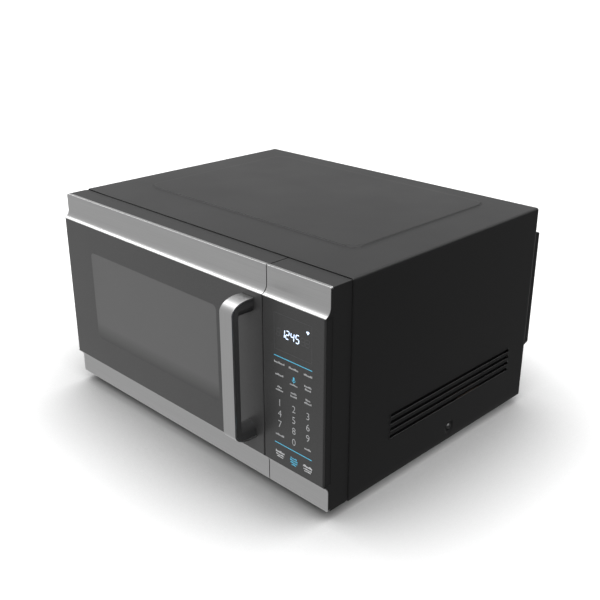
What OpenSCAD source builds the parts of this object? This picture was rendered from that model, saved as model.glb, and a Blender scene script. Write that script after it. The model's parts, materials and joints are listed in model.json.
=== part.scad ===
// Countertop microwave and convection oven: side-hung door, bar handle, touch panel.
// Millimetres, +Z up, the door faces -Y, origin on the ground under the middle.

/* [Overall size] */
// width of the cabinet, side to side
body_w = 544; // [450:1:660]
// depth of the body, door glass to cabinet rear
body_d = 440; // [365:1:530]
// height of the body above its feet
body_h = 297; // [247:1:360]
// height of the feet
foot_h = 14; // [8:1:24]

/* [Cabinet] */
// thickness of the folded sheet
sheet = 1.2; // [0.9:0.1:1.5]
// radius of the folded top edges
bend_r = 3.5; // [2.5:0.5:8]
// how far the top panel is pressed up
emboss = 1.5; // [0.8:0.1:2.5]
// height of one side louvre slot
louvre_h = 5.2; // [3.5:0.1:6]
// vertical distance between louvres
louvre_pitch = 10.3; // [9.5:0.1:13]
// distance from the louvres to the front edge of the cabinet
louvre_front = 76.2; // [60:0.1:110]
// distance from the louvres to the rear of the cabinet
louvre_back = 47.5; // [30:0.5:100]
// depth of the cover that stands off the rear panel
rear_d = 30; // [20:1:45]
// distance from the cover on the rear panel to the side of the cabinet
rear_in = 14.4; // [14.4:0.1:30]

/* [Front] */
// width of the control panel
panel_w = 104.3; // [95:0.1:126]
// thickness of the door, glass included
door_t = 43.5; // [40:0.1:52.5]
// joint line between the front and the cabinet
front_gap = 1.3; // [1:0.1:2]
// joint line between door and control panel
split_gap = 1.3; // [1:0.1:2]
// thickness of the front glass
glass_t = 3.2; // [2.5:0.1:4]
// height of the metal trim above the glass
trim_top_h = 37.2; // [30:0.1:45]
// height of the metal trim below the glass
trim_low_h = 39.4; // [32:0.1:47]
// setback of the trim face behind the glass face
trim_step = 8; // [6:0.1:9.5]
// radius of the hollow curve beside the glass
cove_r = 12.3; // [11.5:0.1:14]
// radius of the outer corners of the front, seen from the front
corner_r = 1.5; // [1:0.1:5]
// radius of the lower edge of the front
low_edge_r = 1.5; // [1:0.1:4.4]

/* [Window] */
// door window, margin at the hinge side
win_left = 66.5; // [55:0.5:90]
// door window, margin at the handle side
win_right = 86.4; // [78:0.1:110]
// door window, margin above the bottom trim
win_low = 43.6; // [30:0.1:60]
// door window, margin below the top trim
win_top = 39.3; // [30:0.1:60]
// corner radius of the window
win_r = 7; // [3:0.5:15]

/* [Handle] */
// how far the handle stands off the glass
handle_reach = 36; // [32:0.5:50]
// width of the handle
handle_w = 22.4; // [18:0.1:28]
// thickness of the handle bar
handle_bar = 11; // [9:0.5:15]
// height of each handle foot
handle_foot = 21.5; // [19:0.5:30]

/* [Turntable] */
// clearance between the tray and the cavity walls
tray_clear = 19.5; // [14:0.5:40]
// radius of a tray roller
roller_r = 8; // [7:0.5:9.5]
// running clearance of every spindle
run_fit = 0.05; // [0.03:0.01:0.1]

/* [Cord inlet] */
// diameter of the cord the gland takes
cord_d = 7.2; // [6:0.1:9]

/* [Hidden] */
$fn = 48;
e = 0.01;
w2 = body_w / 2;
y_front = -(body_d + rear_d - handle_reach) / 2;
inset = 1;
fx0 = -w2 + inset;                 // left face of the front
fx1 = w2 - inset;                  // right face of the front
fz1 = body_h - inset;              // top of the front
split_x = w2 - panel_w;
door_x1 = split_x - split_gap / 2;
pan_x0 = split_x + split_gap / 2;
cab_y0 = door_t + front_gap;       // front edge of the cabinet
plate_y = cab_y0 + 0.2;            // face of the front plate
rear_y = body_d - 2 * sheet - 0.2; // inner face of the rear panel
rear_r = 4.5;                      // radius of the folded rear edges
rear_flare = 1.4;                  // widening of the rear cover towards its back, each side
wall = 2.5;                        // thickness of a moulded wall
// cabinet fixings: screws, feet, rear openings
screw_hole = 1.9;
screw_pass = 2.2;
side_y = body_d / 2 + 33.3;
side_z = 19;
rear_screws = [for (s = [-1, 1], z = [24, body_h - 46]) [s * (w2 - 8), z]];
foot_places = [for (s = [-1, 1], y = [75, body_d - 60]) [s * (w2 - 50), y]];
// raised field of the top
field_x0 = -w2 + 52;
field_x1 = w2 - 66;
field_y0 = cab_y0 + 74.7;
field_y1 = body_d - 35.5;
field_r = 18;
// louvres
louvre_y0 = cab_y0 + louvre_front;
louvre_y1 = body_d - louvre_back;
louvre_z = 90;
louvres = 4;
trim_b = trim_step + 4.5;          // back of the trims
gz0 = trim_low_h;
gz1 = body_h - trim_top_h;
hinge_r = 6;
hinge_x = fx0 + hinge_r;
hinge_y = door_t - hinge_r;
arm_z0 = 9;
arm_t = 3;
arm_z1 = fz1 - arm_z0 - arm_t;
pin_r = 3;
// cavity
cav_x0 = -w2 + 30;
cav_x1 = split_x - 49.7;
cav_y0 = plate_y + sheet;
cav_y1 = body_d - 40;
cav_z0 = 30;
cav_z1 = body_h - 32;
cav_r = 12;
cx = (cav_x0 + cav_x1) / 2;
cy = (cav_y0 + cav_y1) / 2;
cz = (cav_z0 + cav_z1) / 2;
bay_x = cav_x1 + sheet;
// turntable
tray_r = min(cav_x1 - cav_x0, cav_y1 - cav_y0) / 2 - tray_clear;
axle_z = cav_z0 + roller_r + 0.05;
tray_z = axle_z + roller_r + 0.1;
track_r = 0.7 * tray_r;
// door: liner face and edge of the choke cover
liner_y = 24;
choke_t = 2;
// door window
wx0 = -w2 + win_left;
wx1 = split_x - win_right;
wz0 = gz0 + win_low;
wz1 = gz1 - win_top;
// handle
hx0 = split_x - 36.2;
hx1 = hx0 + handle_w;
hxc = (hx0 + hx1) / 2;
hz0 = gz0 + 21.1;
hz1 = gz1 - 6.8;
strap_t = 2.6;
handle_tuck = 0.8;                 // black body narrower than the strap, each side
handle_screw_z = [hz0 + 10.5, hz1 - 10.5];
// display window of the control panel
dsp_x0 = w2 - 84;
dsp_x1 = w2 - 21.5;
dsp_z0 = gz1 - 61.8;
dsp_z1 = gz1 - 14.8;
// latch
lx0 = split_x - 24.7;
lx1 = lx0 + 14;
hook_h = 8;
hook_lo = gz0 + 48;
hook_hi = gz1 - 56;
hook_y = plate_y + 17;
sw_y = hook_y + 4;                 // front face of the switches
barb = 3;
latch_go = 5;
latch_z0 = hook_lo - 22;
latch_z1 = hook_hi + 30;
lpy = 17;                          // front face of the latch plate
// convection
conv_r = 0.447 * (cav_z1 - cav_z0);
// cooling fan
fan_x = w2 - 67;
fan_z = body_h - 97;
fan_h = 55;
// power parts
mag_y = cy - 23;
mag_z = cav_z1 - 57;
tf_y = body_d / 2 + 80;
filter_z = fan_z - fan_h - 53;
gland_x = w2 - 47;
gland_z = 40;
tri = [0, 120, 240];

// ---- helpers, all in body coordinates: y = 0 on the glass face, z = 0 under the body

module body() translate([0, y_front, foot_h]) children();

module bx(x0, x1, y0, y1, z0, z1)
    translate([x0, y0, z0]) cube([x1 - x0, y1 - y0, z1 - z0]);

module along_x(x0, x1) translate([x0, 0, 0]) rotate([90, 0, 90]) linear_extrude(x1 - x0) children();

module along_y(y0, y1) translate([0, y1, 0]) rotate([90, 0, 0]) linear_extrude(y1 - y0) children();

module along_z(z0, z1) translate([0, 0, z0]) linear_extrude(z1 - z0) children();

module rod_x(r, x0, x1, y, z) translate([x0, y, z]) rotate([0, 90, 0]) cylinder(r = r, h = x1 - x0);

module rod_y(r, x, y0, y1, z) translate([x, y0, z]) rotate([-90, 0, 0]) cylinder(r = r, h = y1 - y0);

module rod_z(r, x, y, z0, z1) translate([x, y, z0]) cylinder(r = r, h = z1 - z0);

// rectangle with four round corners
module rr(a0, a1, b0, b1, r) {
    translate([a0 + r, b0]) square([a1 - a0 - 2 * r, b1 - b0]);
    translate([a0, b0 + r]) square([a1 - a0, b1 - b0 - 2 * r]);
    for (a = [a0 + r, a1 - r], b = [b0 + r, b1 - r]) translate([a, b]) circle(r);
}

// rectangle whose two upper corners are round
module arch(a0, a1, b0, b1, r) {
    translate([a0 + r, b0]) square([a1 - a0 - 2 * r, b1 - b0]);
    translate([a0, b0]) square([a1 - a0, b1 - b0 - r]);
    for (a = [a0 + r, a1 - r]) translate([a, b1 - r]) circle(r);
}

// ---- cabinet

module base_plate() color("silver") body() difference() {
    union() {
        bx(-w2 + sheet + 0.2, w2 - sheet - 0.2, cav_y0, body_d - 7, 1, 1 + sheet);
        bx(-w2 + 6, w2 - 6, cav_y0, rear_y, 1, 1 + sheet);
        for (s = [-1, 1]) translate([s * (w2 - sheet - 0.2 - sheet / 2), 0, 0])
            bx(-sheet / 2, sheet / 2, cav_y0, body_d - 7, 1, 9.5);
        for (s = [-1, 1]) translate([s * (w2 - 2 * sheet - 2.2), 0, 0])
            bx(-sheet, sheet, side_y - 19, side_y + 19, 1, side_z + 15);
        bx(-w2 + 8, w2 - 8, rear_y - sheet, rear_y, 1, 14);
    }
    for (p = foot_places) rod_z(4.1, p[0], p[1], 0, 5);
    for (i = [0 : 7]) along_z(0, 5) translate([cx - 60 + i * 12, cy + 27]) square([5, 60]);
    for (s = [-1, 1]) rod_x(screw_hole, s * (w2 - 5) - 5, s * (w2 - 5) + 5, side_y, side_z);
}

module feet() color("dimgray") body()
    for (p = foot_places) translate([p[0], p[1], 0]) difference() {
        union() {
            translate([0, 0, -foot_h]) cylinder(r1 = 13.5, r2 = 15.5, h = foot_h + 1);
            translate([0, 0, 0.9]) cylinder(r = 4, h = 4);
        }
        translate([0, 0, -foot_h - 1]) cylinder(r = 6, h = 4);
    }

module cover_form(k, y0) intersection() {
    along_y(y0, body_d - k) arch(-w2 + k, w2 - k, -2, body_h - k, bend_r - k);
    along_z(-1, body_h) arch(-w2 + k, w2 - k, 20, body_d - k, rear_r - k);
    along_x(-w2, w2) difference() {
        translate([20, -1]) square([body_d - k - 20, body_h - k + 1]);
        translate([body_d - rear_r, body_h - rear_r]) difference() {
            square(rear_r + 1);
            circle(rear_r - k);
        }
    }
}

module cabinet_cover() color([0.08, 0.08, 0.08]) body() difference() {
    union() {
        difference() {
            cover_form(0, cab_y0);
            cover_form(sheet, cab_y0 - 1);
            bx(-w2 - 1, w2 + 1, 0, body_d + 1, -3, 0);
            along_y(body_d - 8, body_d + 1) translate([-w2 + 14, -5]) square([body_w - 28, body_h - 9]);
        }
        along_z(body_h - sheet / 2, body_h + emboss) rr(field_x0, field_x1, field_y0, field_y1, field_r);
        for (i = [0 : louvres - 1]) along_y(louvre_y0, louvre_y1 - 3)
            let (z = louvre_z - i * louvre_pitch)
            polygon([[w2 - sheet + 0.4, z + louvre_h / 2 + 1.2], [w2 - sheet + 0.4, z + louvre_h / 2 - 0.2],
                [w2 - sheet - 3.4, z - 1.6], [w2 - sheet - 4.3, z - 1]]);
        for (s = [-1, 1]) rod_x(9, s * (w2 - 1.45) - 1.15, s * (w2 - 1.45) + 1.15, side_y, side_z);
    }
    along_z(body_h - 2 * sheet, body_h + emboss - sheet)
        rr(field_x0 + sheet, field_x1 - sheet, field_y0 + sheet, field_y1 - sheet, field_r - sheet);
    for (i = [0 : louvres - 1]) let (z = louvre_z - i * louvre_pitch, y1 = louvre_y1 - louvre_h / 2)
        along_x(w2 - sheet - e, w2 + 1) {
            translate([louvre_y0, z - louvre_h / 2]) square([y1 - louvre_y0, louvre_h]);
            translate([y1, z]) circle(louvre_h / 2);
        }
    for (s = [-1, 1]) {
        rod_x(7.5, s * (w2 - 0.2) - 1.2, s * (w2 - 0.2) + 1.2, side_y, side_z);
        rod_x(screw_pass, s * (w2 - 2) - 4, s * (w2 - 2) + 4, side_y, side_z);
    }
    for (p = rear_screws) rod_y(screw_pass, p[0], body_d - 5, body_d + 1, p[1]);
}

// pan-head screw, its head seated at the origin facing +X
module screw_x() {
    rotate([0, 90, 0]) difference() {
        union() {
            cylinder(r1 = 4.4, r2 = 3.4, h = 2);
            translate([0, 0, -7]) cylinder(r = 1.8, h = 7 + e);
        }
        translate([-0.5, -2.4, 0.9]) cube([1, 4.8, 2]);
        translate([-2.4, -0.5, 0.9]) cube([4.8, 1, 2]);
    }
}

module cover_screws() color("silver") body() {
    translate([w2 - 1.4, side_y, side_z]) screw_x();
    translate([-w2 + 1.4, side_y, side_z]) rotate([0, 0, 180]) screw_x();
    for (p = rear_screws) translate([p[0], body_d, p[1]]) rotate([0, 0, 90]) screw_x();
}

module rear_panel() color("dimgray") body() difference() {
    bx(-w2 + 3.8, w2 - 3.8, rear_y, rear_y + sheet, 1, body_h - 3.8);
    rod_y(36, cx, rear_y - 1, rear_y + 3, cz);
    for (i = [-3 : 3], j = [-3 : 3]) rod_y(3, fan_x + i * 12, rear_y - 1, rear_y + 3, fan_z + j * 12);
    rod_y(cord_d / 2 + 5.1, gland_x, rear_y - 1, rear_y + 3, gland_z);
    for (p = rear_screws) rod_y(screw_hole, p[0], rear_y - 1, rear_y + 3, p[1]);
}

module rear_form(k) intersection() {
    along_z(40, body_h) polygon([[-w2 + rear_in + k, rear_y + sheet - k],
        [w2 - rear_in - k, rear_y + sheet - k], [w2 - rear_in + rear_flare - k, body_d + rear_d - k],
        [-w2 + rear_in - rear_flare + k, body_d + rear_d - k]]);
    along_x(-w2, w2) polygon([[rear_y + sheet - k, 62 + k], [body_d + rear_d - k, 74 + k],
        [body_d + rear_d - k, body_h - 47 - k], [rear_y + sheet - k, body_h - 35 - k]]);
}

module rear_cover() color([0.12, 0.12, 0.12]) body() difference() {
    rear_form(0);
    rear_form(1.5);
    for (i = [0 : 8]) along_y(body_d, body_d + rear_d + 1)
        rr(fan_x - 48 + i * 11, fan_x - 43 + i * 11, fan_z - 40, fan_z + 30, 2.4);
    for (i = [0 : 6]) along_y(body_d, body_d + rear_d + 1)
        rr(cx - 36 + i * 11, cx - 31 + i * 11, cz - 36, cz + 36, 2.4);
}

// ---- cavity

module cavity_wrap() color("gainsboro") body() difference() {
    along_y(cav_y0, cav_y1) difference() {
        arch(cav_x0 - sheet, cav_x1 + sheet, cav_z0 - sheet, cav_z1 + sheet, cav_r + sheet);
        arch(cav_x0, cav_x1, cav_z0 - 2 * sheet, cav_z1, cav_r);
    }
    bx(cav_x1 - 1, cav_x1 + 3, mag_y - 38, mag_y + 38, mag_z - 60, mag_z - 10);
    for (i = [0 : 3], j = [0 : 2]) rod_x(2, cav_x1 - 1, cav_x1 + 3, cav_y0 + 56 + i * 7, cav_z1 - 34 + j * 7);
    for (i = [0 : 7], j = [0 : 2]) rod_x(2, cav_x0 - 3, cav_x0 + 1, cav_y1 - 90 + i * 7, cav_z1 - 34 + j * 7);
}

module cavity_floor() color("gainsboro") body() difference() {
    bx(cav_x0, cav_x1, cav_y0, cav_y1, cav_z0 - sheet, cav_z0);
    rod_z(6, cx, cy, cav_z0 - 3, cav_z0 + 1);
}

module cavity_back() color("gainsboro") body() difference() {
    along_y(cav_y1, cav_y1 + sheet)
        arch(cav_x0 - sheet, cav_x1 + sheet, cav_z0 - sheet, cav_z1 + sheet, cav_r + sheet);
    rod_y(0.78 * conv_r, cx, cav_y1 - 1, cav_y1 + 3, cz);
}

module front_plate() color("gainsboro") body() difference() {
    bx(-w2 + sheet + 0.2, w2 - sheet - 0.2, plate_y, plate_y + sheet, 1, body_h - bend_r - 0.3);
    along_y(plate_y - 1, plate_y + 3) arch(cav_x0, cav_x1, cav_z0, cav_z1, cav_r);
    for (z = [hook_lo, hook_hi])
        bx(lx0 - 1.3, lx1 + 1.3, plate_y - 1, plate_y + 3, z - barb - 1.3, z + hook_h + latch_go + 1.3);
    for (z = [arm_z0, arm_z1]) bx(-w2, hinge_x + 6.2, plate_y - 1, plate_y + 3, z - 0.2, z + arm_t + 0.2);
    bx(pan_x0 + 12, fx1 - 12, plate_y - 1, plate_y + 3, 30, body_h - 40);
}

module hinge(z, up) {
    along_z(z, z + arm_t) {
        translate([hinge_x, hinge_y]) circle(5.5);
        translate([hinge_x - 4.4, hinge_y]) square([9.9, plate_y + sheet + 2 - hinge_y]);
    }
    bx(hinge_x - 4.4, cav_x0 - sheet - 0.5, plate_y + sheet, plate_y + sheet + 2,
        up ? z : z - 22, up ? z + 22 + arm_t : z + arm_t);
    rod_z(pin_r, hinge_x, hinge_y, up ? z + arm_t - e : z - 11, up ? z + arm_t + 11 : z + e);
}

module hinges() color("silver") body() {
    hinge(arm_z0, true);
    hinge(arm_z1, false);
}

// ---- control side

// trim section in (y, z): flat face, hollow curve that runs out to the glass face
module trim_top_2d() difference() {
    union() {
        translate([trim_step, gz1]) square([trim_b - trim_step, fz1 - 2 - gz1]);
        translate([trim_step + 2, gz1]) square([trim_b - trim_step - 2, fz1 - gz1]);
        translate([trim_step + 2, fz1 - 2]) circle(2);
        translate([0, gz1]) square([trim_b, cove_r - 0.2]);
    }
    translate([trim_step - cove_r, gz1 + cove_r - 0.1]) circle(cove_r);
}

module trim_low_2d() difference() {
    union() {
        translate([trim_step, low_edge_r]) square([trim_b - trim_step, gz0 - low_edge_r]);
        translate([trim_step + low_edge_r, 0]) square([trim_b - trim_step - low_edge_r, gz0]);
        translate([trim_step + low_edge_r, low_edge_r]) circle(low_edge_r);
        translate([0, gz0 - cove_r + 0.2]) square([trim_b, cove_r - 0.2]);
    }
    translate([trim_step - cove_r, gz0 - cove_r + 0.1]) circle(cove_r);
}

module front_face_2d() rr(fx0, fx1, 0, fz1, corner_r);

module trim_top(x0, x1) intersection() {
    along_x(x0, x1) trim_top_2d();
    along_y(-1, trim_b + 1) front_face_2d();
}

module trim_low(x0, x1) intersection() {
    along_x(x0, x1) trim_low_2d();
    along_y(-1, trim_b + 1) front_face_2d();
}

module control_trim_top() color("silver") body() trim_top(pan_x0, fx1);

module control_trim_bottom() color("silver") body() trim_low(pan_x0, fx1);

module pane_2d(x0, x1) {
    translate([x0, 1.5]) square([x1 - x0, glass_t - 1.5]);
    translate([x0 + 1.5, 0]) square([x1 - x0 - 3, glass_t]);
    for (x = [x0 + 1.5, x1 - 1.5]) translate([x, 1.5]) circle(1.5);
}

module control_glass() color([0.1, 0.1, 0.1]) body() along_z(gz0 + 0.2, gz1 - 0.2) pane_2d(pan_x0, fx1 - 1);

module control_housing() color([0.1, 0.1, 0.1]) body() difference() {
    union() {
        bx(pan_x0, fx1, trim_b, door_t, 0.5, fz1 - 0.5);
        bx(pan_x0, fx1 - 0.5, glass_t, trim_b + e, gz0 + 0.3, gz1 - 0.3);
        bx(pan_x0 + 1, fx1 - 3, door_t - 1, plate_y, 4, fz1 - 5);
    }
    bx(pan_x0 + wall, fx1 - 0.5 - wall, glass_t + wall, trim_b + wall + 1,
        gz0 + 0.3 + wall, gz1 - 0.3 - wall);
    bx(pan_x0 + wall, fx1 - wall - 2, trim_b + wall, plate_y + 1, 0.5 + wall + 4, fz1 - 0.5 - wall - 5);
    bx(dsp_x0 - 0.2, dsp_x1 + 0.2, glass_t - 1, glass_t + wall + 1, dsp_z0 - 0.2, dsp_z1 + 0.2);
    for (z = [gz0 + 12, dsp_z0 - 6]) translate([0, 0, z]) bx(pan_x0 - 1, pan_x0 + wall + 1, 16, 30, 0, 3);
}

module display_module() color([0.15, 0.2, 0.25]) body() {
    bx(dsp_x0, dsp_x1, glass_t + 0.1, glass_t + wall + 8, dsp_z0, dsp_z1);
    bx(dsp_x0 + 4, dsp_x1 - 4, glass_t + wall + 8 - e, glass_t + wall + 14.3, dsp_z0 + 4, dsp_z1 - 4);
}

module touch_board() color("darkgreen") body() {
    bx(pan_x0 + wall + 1, fx1 - wall - 2, glass_t + wall + 0.1, glass_t + wall + 1.3, gz0 + 5, dsp_z0 - 2);
    for (i = [-1 : 1], j = [0 : 6])
        rod_y(5.5, w2 - 51.4 + i * 23.9, glass_t + wall + 1.3 - e, glass_t + wall + 2,
            gz0 + 15 + j * (dsp_z0 - gz0 - 30) / 6);
}

module control_board() color("darkgreen") body() {
    bx(pan_x0 + wall + 2, fx1 - wall - 4, glass_t + wall + 14.4, glass_t + wall + 16, gz0 + 15, gz1 - 14);
    for (z = [gz0 + 22, dsp_z0 - 12], x = [pan_x0 + wall + 7, fx1 - wall - 9])
        rod_y(3, x, glass_t + wall + 1.4, glass_t + wall + 14.5, z);
    bx(pan_x0 + 14, pan_x0 + 44, glass_t + wall + 16 - e, glass_t + wall + 30, gz0 + 24, gz0 + 58);
    for (i = [0 : 2]) bx(pan_x0 + 54, pan_x0 + 72, glass_t + wall + 16 - e, glass_t + wall + 28,
        gz0 + 24 + i * 20, gz0 + 40 + i * 20);
    bx(pan_x0 + 20, pan_x0 + 42, glass_t + wall + 16 - e, glass_t + wall + 19, gz0 + 96, gz0 + 118);
    for (i = [0 : 1]) rod_y(6, pan_x0 + 58 + i * 15, glass_t + wall + 16 - e, glass_t + wall + 29, gz0 + 100);
}

// ---- latch parts on the body

module latch_bracket() color("white") body() difference() {
    union() {
        bx(bay_x + 2, bay_x + 5, plate_y + sheet, sw_y + 20, hook_lo - 34, hook_hi + 34);
        bx(bay_x + 2, lx1 + 10, plate_y + sheet, plate_y + sheet + 2.5, hook_lo - 34, hook_lo - 20);
        bx(bay_x + 2, lx1 + 10, plate_y + sheet, plate_y + sheet + 2.5, hook_hi + 20, hook_hi + 34);
        for (z = [hook_lo, hook_hi]) {
            bx(bay_x + 4, lx1, plate_y + sheet, hook_y - 6, z - 7, z - 0.3);
            bx(bay_x + 4, lx0 - 2, sw_y + 2, sw_y + 15, z - 4, z + 14);
        }
    }
    for (z = [hook_lo - 27, hook_hi + 27]) rod_y(2.2, lx1 + 4, plate_y, plate_y + 9, z);
}

module door_switches() color([0.15, 0.15, 0.18]) body()
    for (z = [hook_lo, hook_hi]) difference() {
        union() {
            bx(lx0 - 1.8, lx1 + 2, sw_y, sw_y + 16, z - 5, z + 15);
            for (i = [0 : 2]) bx(lx0 + 1 + i * 6, lx0 + 2.5 + i * 6, sw_y + 16 - e, sw_y + 23, z, z + 5);
        }
        bx(lx0 + 3, lx1 - 3, sw_y - 1, sw_y + 5, z + 1, z + 7);
    }

module plunger(z) bx(lx0 + 3.2, lx1 - 3.2, hook_y + 0.8, sw_y + 2.6, z + 1.2, z + 6.8);

module plunger_lower() color("red") body() plunger(hook_lo);

module plunger_upper() color("red") body() plunger(hook_hi);

// ---- turntable

module turntable_motor() color("silver") body() difference() {
    union() {
        rod_z(24.5, cx, cy, cav_z0 - sheet - 16, cav_z0 - sheet);
        along_z(cav_z0 - sheet - 1.5, cav_z0 - sheet) rr(cx - 35, cx + 35, cy - 9, cy + 9, 4);
        bx(cx + 20, cx + 33, cy - 8, cy + 8, cav_z0 - sheet - 13, cav_z0 - sheet - 1);
    }
    rod_z(3 + run_fit, cx, cy, cav_z0 - sheet - 12, cav_z0 + 1);
}

module coupler() color("white") body() {
    rod_z(3, cx, cy, cav_z0 - sheet - 11.5, cav_z0 + 1);
    rod_z(9, cx, cy, cav_z0 + 0.6, tray_z - 0.4);
    for (a = tri) translate([cx, cy, 0]) rotate([0, 0, a]) bx(0, 19, -2.5, 2.5, cav_z0 + 5, tray_z - 0.4);
}

module glass_tray() color([0.7, 0.85, 0.9, 0.5]) body() translate([cx, cy, tray_z]) {
    difference() {
        cylinder(r = tray_r, h = 15);
        translate([0, 0, 4.5]) cylinder(r = tray_r - 14, h = 12);
        translate([0, 0, 10]) cylinder(r1 = tray_r - 14, r2 = tray_r - 4, h = 5 + e);
        translate([0, 0, -e]) difference() {
            cylinder(r = tray_r + 1, h = 9);
            translate([0, 0, -1]) cylinder(r = tray_r - 9, h = 11);
        }
    }
    for (a = tri) rotate([0, 0, a + 60]) translate([11, -3.5, -6]) cube([10, 7, 6 + e]);
}

module roller_ring() color("white") body() translate([cx, cy, 0]) {
    difference() {
        rod_z(track_r - 10.5, 0, 0, axle_z - 3, axle_z + 3);
        rod_z(track_r - 18.5, 0, 0, axle_z - 4, axle_z + 4);
    }
    for (a = tri) rotate([0, 0, a]) {
        rod_x(2, track_r - 13, track_r + 6, 0, axle_z);
        rod_x(3.4, track_r + 5, track_r + 6.5, 0, axle_z);
    }
}

module roller(a) body() translate([cx, cy, 0]) rotate([0, 0, a]) difference() {
    rod_x(roller_r, track_r - 4.5, track_r + 4.5, 0, axle_z);
    rod_x(2 + 2 * run_fit, track_r - 6, track_r + 6, 0, axle_z);
}

module roller_1() color("gainsboro") roller(0);

module roller_2() color("gainsboro") roller(120);

module roller_3() color("gainsboro") roller(240);

// ---- power parts

module waveguide() color("silver") body() difference() {
    bx(bay_x, bay_x + 32, mag_y - 45, mag_y + 45, mag_z - 68, mag_z + 45);
    bx(bay_x + sheet, bay_x + 32 - sheet, mag_y - 45 + sheet, mag_y + 45 - sheet,
        mag_z - 68 + sheet, mag_z + 45 - sheet);
    bx(bay_x - 1, bay_x + 3, mag_y - 38, mag_y + 38, mag_z - 60, mag_z - 10);
    rod_x(18, bay_x + 28, bay_x + 34, mag_y, mag_z + 10);
}

module waveguide_cover() color("burlywood") body()
    bx(cav_x1 - 0.9, cav_x1 - 0.1, mag_y - 44, mag_y + 44, mag_z - 66, mag_z - 4);

module magnetron() color("silver") body() {
    rod_x(8, bay_x + 12, bay_x + 36, mag_y, mag_z + 10);
    bx(bay_x + 32, bay_x + 34, mag_y - 43, mag_y + 43, mag_z - 25, mag_z + 43);
    rod_x(20, bay_x + 33, bay_x + 86, mag_y, mag_z + 10);
    for (i = [0 : 6])
        bx(bay_x + 40 + i * 6, bay_x + 41 + i * 6, mag_y - 34, mag_y + 34, mag_z - 20, mag_z + 40);
    for (s = [-36, 34]) bx(bay_x + 33, bay_x + 84, mag_y + s, mag_y + s + 2, mag_z - 22, mag_z + 42);
    bx(bay_x + 82, bay_x + 84, mag_y - 36, mag_y + 36, mag_z - 22, mag_z + 42);
    bx(bay_x + 84 - e, bay_x + 104, mag_y - 20, mag_y + 20, mag_z - 10, mag_z + 30);
}

module transformer() color("sienna") body() {
    x = w2 - 84;
    difference() {
        bx(x, x + 72, tf_y - 40, tf_y + 40, 1 + sheet, 70);
        for (s = [-1, 1]) bx(x - 1, x + 73, tf_y + s * 19 - 8, tf_y + s * 19 + 8, 18, 54);
    }
    for (s = [-1, 1]) bx(x - 12, x + 80, tf_y + s * 19 - 7.8, tf_y + s * 19 + 7.8, 18.2, 53.8);
    bx(x - 12, x - 6, tf_y - 26, tf_y + 26, 18.2, 53.8);
    bx(x + 74, x + 80, tf_y - 26, tf_y + 26, 18.2, 53.8);
    for (s = [-1, 1]) bx(x - 8, w2 - 3 * sheet - 2.4, tf_y + s * 46 - 8, tf_y + s * 46 + 8, 1 + sheet, 4);
}

module capacitor() color("gainsboro") body() {
    along_z(1 + sheet, 88) rr(bay_x + 12, bay_x + 44, body_d - 86, body_d - 34, 15.9);
    for (s = [-9, 9]) bx(bay_x + 26, bay_x + 30, body_d - 60 + s, body_d - 59.2 + s, 88 - e, 98);
}

module rectifier_diode() color([0.1, 0.1, 0.1]) body() {
    rod_x(4, bay_x + 22, bay_x + 36, body_d - 60, 92.4);
    rod_x(0.9, bay_x + 16, bay_x + 42, body_d - 60, 92.4);
}

module filter_board() color("darkgreen") body() {
    bx(bay_x + 8, bay_x + 66, rear_y - 7.6, rear_y - 6, filter_z, filter_z + 46);
    for (x = [bay_x + 12, bay_x + 62], z = [4, 42]) rod_y(2.6, x, rear_y - 6 - e, rear_y, filter_z + z);
    rod_y(11, bay_x + 24, rear_y - 24, rear_y - 7.6 + e, filter_z + 24);
    bx(bay_x + 42, bay_x + 60, rear_y - 22, rear_y - 7.6 + e, filter_z + 12, filter_z + 38);
}

module cord_gland() color([0.1, 0.1, 0.1]) body() difference() {
    union() {
        rod_y(cord_d / 2 + 5, gland_x, rear_y - 8, rear_y + 12, gland_z);
        rod_y(cord_d / 2 + 8, gland_x, rear_y + sheet, rear_y + sheet + 4, gland_z);
        rod_y(cord_d / 2 + 8, gland_x, rear_y - 3, rear_y, gland_z);
    }
    rod_y(cord_d / 2, gland_x, rear_y - 9, rear_y + 13, gland_z);
}

module oven_lamp() color("white") body() {
    bx(bay_x, bay_x + 3, cav_y0 + 48, cav_y0 + 86, cav_z1 - 44, cav_z1 - 10);
    rod_x(12, bay_x + 3 - e, bay_x + 20, cav_y0 + 67, cav_z1 - 27);
    bx(bay_x + 20 - e, bay_x + 32, cav_y0 + 57, cav_y0 + 77, cav_z1 - 37, cav_z1 - 17);
}

module thermal_cutouts() color([0.1, 0.1, 0.1]) body()
    for (p = [[cav_y1 - 60, cz + 40], [cav_y1 - 60, cz - 30]]) {
        rod_x(8, bay_x, bay_x + 8, p[0], p[1]);
        bx(bay_x, bay_x + 1.5, p[0] - 13, p[0] + 13, p[1] - 5, p[1] + 5);
        for (s = [-4, 4]) bx(bay_x + 8 - e, bay_x + 15, p[0] + s - 0.4, p[0] + s + 0.4, p[1] - 3, p[1] + 3);
    }

// ---- cooling fan, its axis along Y

module fan_shroud() color([0.2, 0.2, 0.2]) body() difference() {
    bx(fan_x - fan_h, fan_x + fan_h, rear_y - 52, rear_y, fan_z - fan_h, fan_z + fan_h);
    bx(fan_x - fan_h + 2, fan_x + fan_h - 2, rear_y - 50, rear_y + 1, fan_z - fan_h + 2, fan_z + fan_h - 2);
    rod_y(fan_h - 6, fan_x, rear_y - 60, rear_y - 40, fan_z);
}

module fan_motor() color("silver") body() difference() {
    union() {
        bx(fan_x - 22, fan_x + 22, rear_y - 22, rear_y - 4, fan_z - 22, fan_z + 22);
        rod_y(12, fan_x, rear_y - 28, rear_y, fan_z);
        for (x = [-16, 16], z = [-16, 16]) rod_y(3, fan_x + x, rear_y - 5, rear_y, fan_z + z);
    }
    rod_y(2.5 + run_fit, fan_x, rear_y - 30, rear_y - 8, fan_z);
}

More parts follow.
